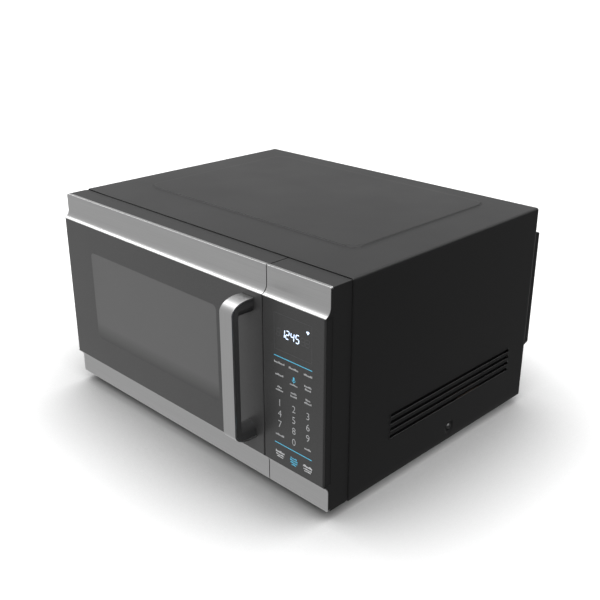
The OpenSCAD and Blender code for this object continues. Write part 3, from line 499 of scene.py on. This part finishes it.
# %% Cover grid lines
FLAT = 1                           # a narrow strip beside each bend keeps the sheet flat up to it
CORNER_START, CORNER_LINES = 3, 9  # lines across the field's round corners
DISH_REACH, DISH_LINES = DISH_R + 0.4, 14
TOP_REACH, SIDE_REACH, SPARE_LINES = 150, 100, 6
FIRST_STRIP = 2.5
FRONT_ROLL, ROLL_MIDDLE = 1.1, (0.3, 0.35)


def shoulder_lines(low, high):
    inner = [low + SHOULDER * t for t in (0, 0.33, 0.66, 1.0)]
    inner += [low + CORNER_START + (FIELD_R - CORNER_START) * i / CORNER_LINES
              for i in range(1, CORNER_LINES + 1)]
    return inner + [low + high - v for v in inner]


wall_lines = {cab_b, roof - FOLD_R, roof - FOLD_R - FLAT, *around(dish_z, DISH_REACH, DISH_LINES)}
left_lines = sorted(v for v in wall_lines if v >= cab_b)
for slot_z in louvre_zs:
    half = LOUVRE_H / 2
    for k in (0, 0.5, 0.87, 1.0):
        wall_lines |= {slot_z + k * half, slot_z - k * half}
    for lip in (LOUVRE_LIP / 2, LOUVRE_LIP):
        wall_lines |= {slot_z + half + lip, slot_z - half - lip}
right_lines = sorted((v for v in wall_lines if v >= cab_b), reverse=True)
top_lines = sorted({cab_l + FOLD_R, cab_l + FOLD_R + FLAT, cab_r - FOLD_R - FLAT, cab_r - FOLD_R,
                    *shoulder_lines(field_l, field_r), *around(0, TOP_REACH, SPARE_LINES)})
FOLD_STEPS = 6
stations = [("left", z) for z in left_lines]
stations += [("left_fold", i / FOLD_STEPS) for i in range(1, FOLD_STEPS)]
stations += [("top", x) for x in top_lines]
stations += [("right_fold", i / FOLD_STEPS) for i in range(1, FOLD_STEPS)]
stations += [("right", z) for z in right_lines]
depth_lines = sorted({cab_f + FIRST_STRIP, cab_k - REAR_R, cab_k - REAR_R - FLAT,
                      *shoulder_lines(field_f, field_k), *around(dish_y, DISH_REACH, DISH_LINES),
                      louvre_f - LOUVRE_LIP, louvre_f - LOUVRE_LIP / 2, louvre_f,
                      louvre_k - LOUVRE_H / 2, louvre_k + LOUVRE_LIP / 2, louvre_k + LOUVRE_LIP,
                      *around(dish_y, SIDE_REACH, SPARE_LINES)})
edge_y = cab_f - SEAM_FILL
rows = [(edge_y, FRONT_ROLL), (edge_y + ROLL_MIDDLE[0], ROLL_MIDDLE[1]), (edge_y + FRONT_ROLL, 0.0)]
rows += [(y, 0.0) for y in depth_lines]
rows += [(cab_k - REAR_R * (1 - math.sin(a)), REAR_R * (1 - math.cos(a)))
         for a in (math.radians(22.5 * i) for i in range(1, 5))]
rows += [(cab_k, inset) for inset in (REAR_R + FLAT, 9.0, FLANGE)]
print(len(stations), "by", len(rows), "grid lines")

# %% [markdown]
# Now the grid is pressed. Each crossing of a station and a row becomes a point, the squares that lie in
# a louvre stay open, and the front edge keeps back beside the hinges, where the door's back edge swings
# past it. The sheet gets its gauge from a Solidify, inwards, so the outside stays at its sizes.

# %% Press the cover
MOST_PUSH = 2                      # no wall moves further out than this
SAME = 0.01                        # points closer than this are one
HINGE_ZONE, HINGE_FADE = 8, 14     # beside the hinges: edge kept back, and the width in which it returns


def cover_point(station, y, inset):
    where, at = station
    round_r = max(FOLD_R - inset, 0.0)
    if where == "left":
        out = push_of_wall(y, at, False) if inset == 0 else 0.0
        x, z = cab_l + inset - out, at
    elif where == "right":
        out = push_of_wall(y, at, True) if inset == 0 else 0.0
        x, z = cab_r - inset + out, at
    elif where == "top":
        x, z = at, roof - inset + (rise_of_field(at, y) if inset == 0 else 0.0)
    else:
        angle = at * math.pi / 2
        side = (1 - math.cos(angle)) if where == "left_fold" else math.sin(angle)
        lift = math.sin(angle) if where == "left_fold" else math.cos(angle)
        if where == "left_fold":
            x = cab_l + FOLD_R - round_r * (1 - side)
        else:
            x = cab_r - FOLD_R + round_r * side
        z = roof - FOLD_R + round_r * lift
    room = MOST_PUSH if inset == 0 else 0
    x = min(max(x, cab_l + inset - room), cab_r - inset + room)
    return x, y, min(z, roof - inset + PRESSED * (inset == 0))


def louvre_end(y, z):
    """The back end of a louvre slot is round, so the slot's last grid line bulges with it."""
    half = LOUVRE_H / 2
    if abs(y - (louvre_k - half)) > SAME:
        return y
    for slot_z in louvre_zs:
        if abs(z - slot_z) < half:
            return louvre_k - half + math.sqrt(half * half - (z - slot_z) ** 2)
    return y


points, faces = [], []
for station in stations:
    for y, inset in rows:
        row_y = louvre_end(y, station[1]) if station[0] == "right" and inset == 0 else y
        if y < cab_f and station[0].startswith("left"):
            row_y += SEAM_FILL
        if y < cab_f and station[0] == "top":
            row_y += SEAM_FILL * (1 - ease((station[1] - cab_l - HINGE_ZONE) / HINGE_FADE))
        points.append(cover_point(station, row_y, inset))
for i in range(len(stations) - 1):
    for j in range(len(rows) - 1):
        if stations[i][0] == stations[i + 1][0] == "right" and rows[j + 1][1] == 0:
            z = (stations[i][1] + stations[i + 1][1]) / 2
            y = (rows[j][0] + rows[j + 1][0]) / 2
            in_slot = any(abs(z - slot_z) < LOUVRE_H / 2 for slot_z in louvre_zs)
            if in_slot and louvre_f < y < louvre_k - LOUVRE_H / 2:
                continue
        a = i * len(rows) + j
        faces.append((a, a + 1, a + 1 + len(rows), a + len(rows)))
cover = make_piece("cover_sheet", points, faces, enamel, "cabinet", smooth=True)
sheet_mesh = bmesh.new()
sheet_mesh.from_mesh(cover.data)
bmesh.ops.remove_doubles(sheet_mesh, verts=sheet_mesh.verts, dist=SAME * MM)
bmesh.ops.dissolve_degenerate(sheet_mesh, dist=SAME / 2 * MM, edges=sheet_mesh.edges)
top_face = max(sheet_mesh.faces, key=lambda face: face.calc_center_median().z)
if top_face.normal.z < 0:
    bmesh.ops.reverse_faces(sheet_mesh, faces=sheet_mesh.faces)
sheet_mesh.to_mesh(cover.data)
sheet_mesh.free()
gauge = cover.modifiers.new("gauge", "SOLIDIFY")
gauge.thickness = SHEET * MM
gauge.offset = -1
gauge.use_even_offset = False
cover.modifiers.new("flat_walls", "WEIGHTED_NORMAL").keep_sharp = True
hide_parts("cabinet_cover")
print("cover sheet has", len(cover.data.polygons), "faces before its gauge")

# %% [markdown]
# Behind each louvre the sheet is cut along the top of the slot and bent inwards and down, which keeps
# fingers and drips out. Those blades are thin slanted strips just inside the wall. They reach lower
# than the solid's do, so that the inside of the cabinet can't be seen through the slots.

# %% Louvre blades
ROOT_IN, ROOT_TOP, ROOT_FOOT = 0.3, 1.0, 0.2   # the root of a blade laps the wall over the slot
OUTER_TOE, INNER_TOE = (4.6, 5.6), (5.5, 5.0)   # in from the wall, down from the slot's middle
root_x = cab_r - SHEET + ROOT_IN
points, faces = [], []
for slot_z in louvre_zs:
    slot_top = slot_z + LOUVRE_H / 2
    section = [(root_x, slot_top + ROOT_TOP), (root_x, slot_top - ROOT_FOOT),
               (cab_r - OUTER_TOE[0], slot_z - OUTER_TOE[1]), (cab_r - INNER_TOE[0], slot_z - INNER_TOE[1])]
    first = len(points)
    for y in (louvre_f - 1.0, louvre_k - 1.5):
        points += [(x, y, z) for x, z in section]
    faces += [(first, first + 1, first + 2, first + 3), (first + 7, first + 6, first + 5, first + 4)]
    faces += [(first + i, first + 4 + i, first + 4 + (i + 1) % 4, first + (i + 1) % 4) for i in range(4)]
make_piece("louvre_blades", points, faces, enamel, "cabinet")
print(LOUVRES, "louvre blades")

# %% [markdown]
# The four trims are brushed steel sheet wrapped over a black moulding: the sheet rolls over the edge,
# runs flat, sweeps forward in a hollow cove and ends in a small lip on the glass. Their ends are open,
# so seen from the side there is only a thin steel line on black. Each is one profile drawn along X.

# %% Drawing a profile along X
SHARP_ANGLE = 35                   # edges turning more than this stay sharp


def offset_line(line, distance):
    """The line moved sideways by a distance, in the plane of the profile."""
    moved = []
    for i, (y, z) in enumerate(line):
        (y0, z0), (y1, z1) = line[max(i - 1, 0)], line[min(i + 1, len(line) - 1)]
        long = math.hypot(y1 - y0, z1 - z0)
        moved.append((y - (z1 - z0) / long * distance, z + (y1 - y0) / long * distance))
    return moved


def draw_along(outline, stations, reshape=None):
    """Points and faces of a closed (y, z) outline carried through the x stations."""
    count = len(outline)
    points = [(x, *(reshape(x, y, z) if reshape else (y, z))) for x in stations for y, z in outline]
    faces = [tuple(range(count)), tuple(range(len(points) - 1, len(points) - count - 1, -1))]
    for i in range(len(stations) - 1):
        for j in range(count):
            a, b = i * count + j, i * count + (j + 1) % count
            faces.append((a, b, b + count, a + count))
    return points, faces


def smooth_but_sharp(piece):
    piece.data.shade_smooth()
    piece.data.set_sharp_from_angle(angle=math.radians(SHARP_ANGLE))


print("profiles can be drawn")

# %% [markdown]
# One function draws the outer line of a trim. The lower trims are the upper ones turned over, with
# other rounds, so the direction is a sign. The outer corners of the front are rounded by holding the
# profile's points down near the end. Each skin replaces its solid, and a black core fills it.

# %% Trims
COVE_R, LIP, SKIN = 12.3, 0.68, 0.9
COVE_STEPS = 24
TRIM_DEEP = 4.5                    # from the flat face back to the trim's rear edge
TOP_ROLL, LOW_ROLL = 1.0, 1.5      # rounds of the far edges
TOP_CORNER, LOW_CORNER = 3.0, 4.0  # rounds of the front's outer corners


def trim_line(node, up):
    """The outer line of a trim from the lip on the glass to its far edge at the back, and its sizes."""
    (_, lip_y, low), (_, back_y, high) = edges(node)
    glass_z, far_z = (low, high) if up > 0 else (high, low)
    face_y, roll = back_y - TRIM_DEEP, TOP_ROLL if up > 0 else LOW_ROLL
    cove_rise = math.sqrt(COVE_R ** 2 - (lip_y - face_y + COVE_R) ** 2)
    cove_y, cove_z = face_y - COVE_R, glass_z + up * (LIP + cove_rise)
    first = math.degrees(math.acos((lip_y - cove_y) / COVE_R))
    line = [(lip_y, glass_z), (lip_y, glass_z + up * LIP * 0.5)]
    for i in range(COVE_STEPS + 1):
        a = math.radians(first * (1 - i / COVE_STEPS))
        line.append((cove_y + COVE_R * math.cos(a), cove_z - up * COVE_R * math.sin(a)))
    for degrees in range(0, 91, 15):
        a = math.radians(degrees)
        line.append((face_y + roll * (1 - math.cos(a)), far_z - up * roll * (1 - math.sin(a))))
    return line + [(back_y, far_z)], glass_z, far_z, back_y


trims = [("door_trim_top", 1, TOP_CORNER, 0), ("door_trim_bottom", -1, LOW_CORNER, 0),
         ("control_trim_top", 1, 0, TOP_CORNER), ("control_trim_bottom", -1, 0, LOW_CORNER)]
for node, up, round_left, round_right in trims:
    body = "door" if "door" in node else "cabinet"
    line, glass_z, far_z, back_y = trim_line(node, up)
    x0, x1 = edges(node)[0][0], edges(node)[1][0]

    def corner(x, y, z):
        cut = 0.0
        for radius, from_end in ((round_left, x - x0), (round_right, x1 - x)):
            if from_end < radius:
                cut = radius - math.sqrt(radius ** 2 - (radius - from_end) ** 2)
        limit = far_z - up * cut
        return y, (min(z, limit) if up > 0 else max(z, limit))

    steps = [1 - math.cos(math.radians(a)) for a in (0, 15, 30, 45, 60, 75, 90)]
    stations = sorted({x0, x1, *(x0 + round_left * t for t in steps), *(x1 - round_right * t for t in steps)})
    inner = offset_line(line, -up * SKIN)
    points, faces = draw_along(line + inner[::-1], stations, corner)
    skin = make_piece(node + "_skin", points, faces, trim_steel, body)
    smooth_but_sharp(skin)
    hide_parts(node)
    points, faces = draw_along(inner + [(back_y, glass_z)], stations, corner)
    make_piece(node + "_core", points, faces, moulded, body)
    print(node, "skin", len(skin.data.polygons), "faces")

# %% [markdown]
# The handle's strap is a steel band bent over two oval corners. It is drawn again here with fine steps,
# since the solid's corners are made of flats that show in the steel. Under it, the grip's inner corners
# get the hollow fillets that a moulding has, so the hand meets no sharp corner.

# %% Handle strap and fillets
(strap_l, strap_out, strap_b), (strap_r, strap_in, strap_t) = edges("handle_strap")
OVAL_DEEP, OVAL_TALL, BAND = 25.0, 15.0, 2.6
STRAP_EDGE = 0.45                  # round of the strap's long edges


def oval(middle_z, start, end, steps=20):
    turns = [math.radians(start + (end - start) * i / steps) for i in range(steps + 1)]
    return [(strap_out + OVAL_DEEP + OVAL_DEEP * math.cos(a), middle_z + OVAL_TALL * math.sin(a))
            for a in turns]


band = [(strap_in, strap_b)] + oval(strap_b + OVAL_TALL, 270, 180) + oval(strap_t - OVAL_TALL, 180, 90)
band += [(strap_in, strap_t)]
points, faces = draw_along(band + offset_line(band, -BAND)[::-1], [strap_l, strap_r])
strap = make_piece("steel_strap", points, faces, strap_steel, "door")
smooth_but_sharp(strap)
soften(strap, STRAP_EDGE).modifiers["edge_round"].harden_normals = True
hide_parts("handle_strap")
print("strap", len(strap.data.polygons), "faces")

(grip_l, _, _), (grip_r, _, _) = edges("handle_body")
FOOT_TALL, BAR, FILLET = 21.5, 11.0, 5.5
FILLET_HALF = 5.5                  # half the fillets' width
SUNK = 0.6                         # they reach this far into the grip
grip_x = (grip_l + grip_r) / 2
bar_back = strap_out + BAR
points, faces = [], []
for foot_z, up in ((strap_b + FOOT_TALL, 1), (strap_t - FOOT_TALL, -1)):
    outline = [(bar_back - SUNK, foot_z + up * FILLET)]
    for degrees in range(0, 91, 10):
        a = math.radians(degrees)
        outline.append((bar_back + FILLET - FILLET * math.cos(a), foot_z + up * FILLET * (1 - math.sin(a))))
    outline += [(bar_back + FILLET, foot_z - up * SUNK), (bar_back - SUNK, foot_z - up * SUNK)]
    more_points, more_faces = draw_along(outline, [grip_x - FILLET_HALF, grip_x + FILLET_HALF])
    faces += [tuple(i + len(points) for i in face) for face in more_faces]
    points += more_points
smooth_but_sharp(make_piece("grip_fillets", points, faces, grip, "door"))
print("fillets drawn at z", round(strap_b + FOOT_TALL), round(strap_t - FOOT_TALL))

# %% [markdown]
# The door screen is what keeps the microwaves in: a thin steel sheet with rows of small holes, each
# far smaller than the wave. It is drawn as a real lattice of square holes, so that it reads as a fine
# mesh through the smoked window and from inside the open door.

# %% Door screen
HOLE_PITCH = 2.7
HOLE = 1.7
SCREEN_GAUGE = 0.5
SCREEN_RIM = 2.0                   # plain rim all round, at least


def lattice_lines(low, high):
    count = int((high - low - 2 * SCREEN_RIM) // HOLE_PITCH)
    start = (low + high - count * HOLE_PITCH) / 2
    lines = [low]
    for i in range(count):
        middle = start + (i + 0.5) * HOLE_PITCH
        lines += [middle - HOLE / 2, middle + HOLE / 2]
    return lines + [high]


across, upward = lattice_lines(screen_l, screen_r), lattice_lines(screen_b, screen_t)
points = [(x, screen_y, z) for x in across for z in upward]
faces = []
for i in range(len(across) - 1):
    for j in range(len(upward) - 1):
        if i % 2 == 1 and j % 2 == 1:
            continue
        a = i * len(upward) + j
        faces.append((a, a + len(upward), a + len(upward) + 1, a + 1))
screen = make_piece("perforated_screen", points, faces, finishes[slot_of["door_screen"]], "door")
gauge = screen.modifiers.new("gauge", "SOLIDIFY")
gauge.thickness = SCREEN_GAUGE * MM
gauge.offset = 0
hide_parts("door_screen")
print("screen holes", (len(across) // 2 - 1) * (len(upward) // 2 - 1), "faces", len(faces))

# %% [markdown]
# The print on the control glass. The inks are white, a clear blue and, behind the display window,
# blue-white light. Ink has a slight mottle and a faint painted glow, and a lit segment glows with real
# light, so each is its own small finish.

# %% Inks
def ink(name, colour, glow=0.0):
    f = Finish(name, colour, 0.45)
    low = tuple(c * 0.9 for c in colour)
    f.join(f.ramp(f.noise(2500, 2.0), [(0.3, low), (0.7, colour)]), "Base Color")
    # emission: a real light for the lit segments, a painted glow for the printed inks
    if glow:
        f.set("Emission Color", (*colour, 1.0))
        f.set("Emission Strength", glow)
    return f.mat


# The white and blue inks carry a faint emission, a painted glow, since printed ink gives no light.
white_ink = ink("white_ink", (0.62, 0.63, 0.64), 0.12)
bold_ink = ink("bold_white_ink", (0.78, 0.79, 0.8), 0.2)
blue_ink = ink("blue_ink", (0.12, 0.62, 0.9), 0.25)
lit = ink("lit_segments", (0.62, 0.76, 1.0), 1.7)
unlit = ink("unlit_segments", (0.13, 0.132, 0.136))
print("inks mixed")

# %% [markdown]
# Where the marks go. Three columns share the panel, and rows are counted in millimetres up from the
# lower edge of the glass. Words are left as rows of small blank blocks, so the panel reads as printed
# without saying anything. Only the keypad's digits are real characters.

# %% Panel layout
_, pane_y, pane_b = edges("control_glass")[0]
COLUMNS = [pane_l + 28.2, pane_l + 52.4, pane_l + 76.1]
INK_FRONT, INK_BACK = pane_y - 0.07, pane_y + 0.05
LETTER, LETTER_GAP = 1.25, 0.5


def blank_word(points, faces, middle, z, wide, tall, seed):
    """A row of small blocks about as dense as lettering, some tall and some short."""
    count = max(2, round(wide / (LETTER + LETTER_GAP)))
    step = wide / count
    for i in range(count):
        high = tall if (i * 7 + seed * 3) % 5 in (0, 3) else tall * 0.68
        x0 = middle - wide / 2 + i * step
        add_prism(points, faces, pill(x0, x0 + step - LETTER_GAP, z - tall / 2, z - tall / 2 + high, 0.3, 2),
                  INK_FRONT, INK_BACK)


def row(height):
    return pane_b + height


words = [(0, 141.4, 18, 2.7), (1, 141.4, 16, 2.7), (2, 141.4, 14, 2.7),
         (0, 125.4, 14, 2.7), (1, 120.4, 13, 2.2), (2, 126.6, 12, 2.5), (2, 122.4, 10, 2.5),
         (0, 109.0, 8, 2.5), (0, 104.8, 13, 2.5), (1, 109.0, 10, 2.5), (1, 104.8, 11, 2.5),
         (2, 109.0, 8, 2.5), (2, 104.8, 12, 2.5), (0, 42.2, 15, 2.7), (2, 42.2, 11, 2.7)]
points, faces = [], []
for seed, (column, height, wide, tall) in enumerate(words):
    blank_word(points, faces, COLUMNS[column], row(height), wide, tall, seed)
make_piece("panel_words", points, faces, white_ink, "cabinet")
print(len(words), "blank words")

# %% [markdown]
# Below the lower line are the three big keys: bold white blocks left and right, blue ones between.
# The two thin blue lines part the panel into display, keypad and big keys. A small blue button mark,
# a capsule over a cup, stands for a voice key.

# %% Bold keys, lines and the voice mark
points, faces = [], []
for column in (0, 2):
    for seed, (height, wide, tall) in enumerate([(17.6, 15.5, 3.2), (13.6, 14, 2.0), (10.8, 11, 2.0)]):
        blank_word(points, faces, COLUMNS[column], row(height), wide, tall, seed + column)
make_piece("panel_bold_words", points, faces, bold_ink, "cabinet")

points, faces = [], []
for seed, (height, wide) in enumerate([(18.6, 11), (15.6, 13), (12.6, 12), (9.6, 8)]):
    blank_word(points, faces, COLUMNS[1], row(height), wide, 2.1, seed)
LINE_INSET, LINE_HALF = (18.9, 19.0), 0.55
for height in (29.7, 149.7):
    line = pill(pane_l + LINE_INSET[0], pane_r - LINE_INSET[1], row(height) - LINE_HALF,
                row(height) + LINE_HALF, 0.3, 2)
    add_prism(points, faces, line, INK_FRONT, INK_BACK)
mark_x, mark_z = COLUMNS[1], row(127.2)
capsule = pill(mark_x - 1.3, mark_x + 1.3, mark_z - 1.2, mark_z + 3.8, 1.29)
cup = arc(mark_x, mark_z, 3.1, 190, 350, 10) + arc(mark_x, mark_z, 2.3, 350, 190, 10)
stem = pill(mark_x - 0.4, mark_x + 0.4, mark_z - 4.4, mark_z - 2.9, 0.3, 2)
for outline in (capsule, cup, stem):
    add_prism(points, faces, outline, INK_FRONT, INK_BACK)
make_piece("panel_blue_marks", points, faces, blue_ink, "cabinet")
print("big keys, lines and voice mark placed")

# %% [markdown]
# The keypad digits are set with Blender's own plain typeface and turned into a mesh. The curve is
# thinned a little first, because printed keypad digits are light.

# %% Keypad digits
DIGIT_TALL = 9.2
THINNER = -0.012                   # takes a little off the strokes
INK_DEEP = 0.1
digit_places = [("1", 0, 87.6), ("2", 1, 87.6), ("3", 2, 87.6),
                ("4", 0, 72.6), ("5", 1, 72.6), ("6", 2, 72.6),
                ("7", 0, 57.8), ("8", 1, 57.8), ("9", 2, 57.8), ("0", 1, 42.2)]
points, faces = [], []
for digit, column, height in digit_places:
    text = bpy.data.curves.new("digit", "FONT")
    text.body = digit
    text.align_x = "CENTER"
    text.offset = THINNER
    text.resolution_u = 4
    holder = bpy.data.objects.new("digit", text)
    bpy.context.collection.objects.link(holder)
    bpy.context.view_layer.update()
    flat = bpy.data.meshes.new_from_object(holder.evaluated_get(bpy.context.evaluated_depsgraph_get()))
    bpy.data.objects.remove(holder)
    ys = [v.co.y for v in flat.vertices]
    scale = DIGIT_TALL / (max(ys) - min(ys))
    centre_y = (max(ys) + min(ys)) / 2
    first = len(points)
    points += [(COLUMNS[column] + v.co.x * scale, INK_FRONT, row(height) + (v.co.y - centre_y) * scale)
               for v in flat.vertices]
    faces += [tuple(first + i for i in face.vertices) for face in flat.polygons]
digits = make_piece("keypad_digits", points, faces, white_ink, "cabinet")
gauge = digits.modifiers.new("ink", "SOLIDIFY")
gauge.thickness = INK_DEEP * MM
gauge.offset = 0
print(len(digit_places), "digits,", len(faces), "faces")

# %% [markdown]
# The display shows the time in seven-segment digits, slanted as such displays are, with one unlit
# digit on each side, a wedge for a signal and the faint outline of the display window.

# %% Display
SEGMENTS = {"1": "bc", "2": "abged", "4": "fgbc", "5": "afgcd", "8": "abcdefg"}
SLANT = math.tan(math.radians(6))
CLOCK_XS = (203.9, 211.3, 219.5, 227.7)
CLOCK_SHIFT = (-0.7, 0.5)          # the lit digits stand this far across and up from their places
UNLIT_XS = (195.5, 236.0, 243.3)
SIGNAL_X, SIGNAL_DOWN, SIGNAL_R = 243.9, 12.4, 4.2


def segment_outline(kind, wide, tall, thick):
    w, h, t = wide / 2, tall / 2, thick / 2
    gap = 0.25
    if kind in "agd":
        z = {"a": h - t, "g": 0.0, "d": -h + t}[kind]
        x = w - t - gap
        return [(-x, z), (-x + t, z + t), (x - t, z + t), (x, z), (x - t, z - t), (-x + t, z - t)]
    x = w - t if kind in "bc" else -w + t
    low, high = (gap, h - t - gap) if kind in "bf" else (-h + t + gap, -gap)
    return [(x, low), (x - t, low + t), (x - t, high - t), (x, high), (x + t, high - t), (x + t, low + t)]


def seven_segment(points, faces, digit, x, z, wide, tall, thick):
    for kind in SEGMENTS[digit]:
        outline = [(x + px + pz * SLANT, z + pz) for px, pz in segment_outline(kind, wide, tall, thick)]
        add_prism(points, faces, outline, INK_FRONT, INK_BACK)


(lcd_l, _, lcd_b), (lcd_r, _, lcd_t) = edges("display_module")
clock_z = (lcd_b + lcd_t) / 2 - 0.3
points, faces = [], []
for digit, x in zip("1245", CLOCK_XS):
    seven_segment(points, faces, digit, x + CLOCK_SHIFT[0], clock_z + CLOCK_SHIFT[1], 6.3, 11.6, 1.25)
signal_z = lcd_t - SIGNAL_DOWN
wedge = [(SIGNAL_X, signal_z)] + arc(SIGNAL_X, signal_z, SIGNAL_R, 50, 130, 6)
add_prism(points, faces, wedge, INK_FRONT, INK_BACK)
make_piece("display_lit", points, faces, lit, "cabinet")

points, faces = [], []
for x in UNLIT_XS:
    seven_segment(points, faces, "8", x, clock_z, 6.0, 10.0, 0.5)
frame_line = 0.35
for x0, x1, z0, z1 in [(lcd_l, lcd_r, lcd_b, lcd_b + frame_line), (lcd_l, lcd_r, lcd_t - frame_line, lcd_t),
                       (lcd_l, lcd_l + frame_line, lcd_b + frame_line, lcd_t - frame_line),
                       (lcd_r - frame_line, lcd_r, lcd_b + frame_line, lcd_t - frame_line)]:
    add_prism(points, faces, [(x0, z0), (x1, z0), (x1, z1), (x0, z1)], INK_FRONT, INK_BACK)
make_piece("display_unlit", points, faces, unlit, "cabinet")
print("display drawn at z", round(clock_z, 1))

# %% [markdown]
# The picture: a pale floor that runs out of sight and one very wide light straight above, which gives
# a soft shadow all round the foot of the oven and a bright line wherever a surface rolls over. The room
# is light on the left, most of all at the front, and dark on the right, as with black flags on that
# side. To look at, the room is plain white. The floor is there to look at and to take the shadow, but
# it is left out of the reflections, so the steel shows the room and not the paper. Close to the oven its
# colour is darkened by an occlusion test, a painted shadow that deepens the real one at the foot.

# %% Room and floor
FLOOR_HALF = 40.0
# The darker floor colour close to the oven is a painted shadow.
FLOOR_TONE, PAINTED_SHADOW_TONE = 0.98, 0.42
PAINTED_SHADOW_REACH = 0.24               # metres around the foot in which the floor darkens
ROOM_SEEN = 1.1
FRONT_LEFT, BACK_LEFT, BACK_HORIZON = 0.57, 0.36, 0.85
RIGHT_SIDE, RIGHT_TOP = 0.06, 0.75
TURN = 0.35                        # how gradually one side of the room passes into the next
PARTING = 0.1                      # where left passes into right, a little right of the middle


def studio_floor():
    mesh = bpy.data.meshes.new("floor")
    ways = ((-1, -1), (1, -1), (1, 1), (-1, 1))
    mesh.from_pydata([(x * FLOOR_HALF, y * FLOOR_HALF, 0) for x, y in ways], [], [(0, 1, 2, 3)])
    floor = bpy.data.objects.new("floor", mesh)
    bpy.context.collection.objects.link(floor)
    f = Finish("floor_paper", (FLOOR_TONE, FLOOR_TONE, FLOOR_TONE), 0.9, spec=0.0)
    # painted shadow: the floor's colour darkens where the occlusion test finds the oven close
    near = f.node("AmbientOcclusion", Distance=PAINTED_SHADOW_REACH).outputs["AO"]
    f.join(f.range(near, PAINTED_SHADOW_TONE, FLOOR_TONE, 0.5, 1.0), "Base Color")
    f.join(f.node("LightPath").outputs["Is Camera Ray"], "Alpha")
    mesh.materials.append(f.mat)


def studio_room():
    world = bpy.data.worlds.new("studio")
    world.use_nodes = True
    room = world.node_tree

    def blend(value, low_in, high_in, low, high):
        made = room.nodes.new("ShaderNodeMapRange")
        made.interpolation_type = "SMOOTHSTEP"
        room.links.new(value, made.inputs["Value"])
        made.inputs["From Min"].default_value = low_in
        made.inputs["From Max"].default_value = high_in
        for name, level in (("To Min", low), ("To Max", high)):
            if isinstance(level, float):
                made.inputs[name].default_value = level
            else:
                room.links.new(level, made.inputs[name])
        return made.outputs["Result"]

    way = room.nodes.new("ShaderNodeSeparateXYZ")
    room.links.new(room.nodes.new("ShaderNodeTexCoord").outputs["Generated"], way.inputs[0])
    back = blend(way.outputs["Z"], 0.0, 0.5, BACK_HORIZON, BACK_LEFT)
    left = blend(way.outputs["Y"], -TURN, TURN, FRONT_LEFT, back)
    right = blend(way.outputs["Z"], 0.1, 0.8, RIGHT_SIDE, RIGHT_TOP)
    level = blend(way.outputs["X"], PARTING - TURN, PARTING + TURN, left, right)
    seen = room.nodes.new("ShaderNodeLightPath").outputs["Is Camera Ray"]
    backdrop = room.nodes["Background"]
    backdrop.inputs["Color"].default_value = (1, 1, 1, 1)
    room.links.new(blend(seen, 0.0, 1.0, level, ROOM_SEEN), backdrop.inputs["Strength"])
    bpy.context.scene.world = world


studio_floor()
studio_room()
print("room: front left", FRONT_LEFT, "back left", BACK_LEFT, "right", RIGHT_SIDE)

# %% [markdown]
# The wide light above is a sun with a very large disc, so it lights every part alike. A narrow strip
# light high on the left draws the bright line in the coves of the trims and on the bend of the handle.
# The camera stands at the front right, a little above the roof, with a slightly long lens.

# %% Light and camera
SKY_POWER, SKY_ANGLE = 2.6, 100
SKY_FROM = (0.12, -0.02, 1.0)
sky = bpy.data.lights.new("broad_light", "SUN")
sky.energy = SKY_POWER
sky.angle = math.radians(SKY_ANGLE)
sky_holder = bpy.data.objects.new("broad_light", sky)
sky_holder.rotation_euler = Vector(SKY_FROM).to_track_quat("Z", "Y").to_euler()
bpy.context.collection.objects.link(sky_holder)

STRIP_PLACE, STRIP_AIM = (-1.6, -0.25, 1.75), (0, 0, 0.15)
STRIP_SIZE, STRIP_POWER = (0.5, 1.6), 9.0
strip = bpy.data.lights.new("left_strip", "AREA")
strip.shape = "RECTANGLE"
strip.size, strip.size_y = STRIP_SIZE
strip.energy = STRIP_POWER
strip_holder = bpy.data.objects.new("left_strip", strip)
strip_holder.location = STRIP_PLACE
strip_way = Vector(STRIP_AIM) - Vector(STRIP_PLACE)
strip_holder.rotation_euler = strip_way.to_track_quat("-Z", "Y").to_euler()
bpy.context.collection.objects.link(strip_holder)
bpy.context.scene.view_settings.view_transform = "Standard"

LENS, SENSOR = 51.63, 36.0
lens = bpy.data.cameras.new("camera")
lens.lens = LENS
lens.sensor_width = SENSOR
camera = bpy.data.objects.new("camera", lens)
stand, look_at = Vector((0.8626, -0.8487, 0.6548)), Vector((0.0114, 0.003, 0.1576))
camera.location = stand
camera.rotation_euler = (look_at - stand).to_track_quat("-Z", "Y").to_euler()
bpy.context.collection.objects.link(camera)
bpy.context.scene.camera = camera
print("camera", [round(v, 3) for v in stand], "lens", lens.lens)
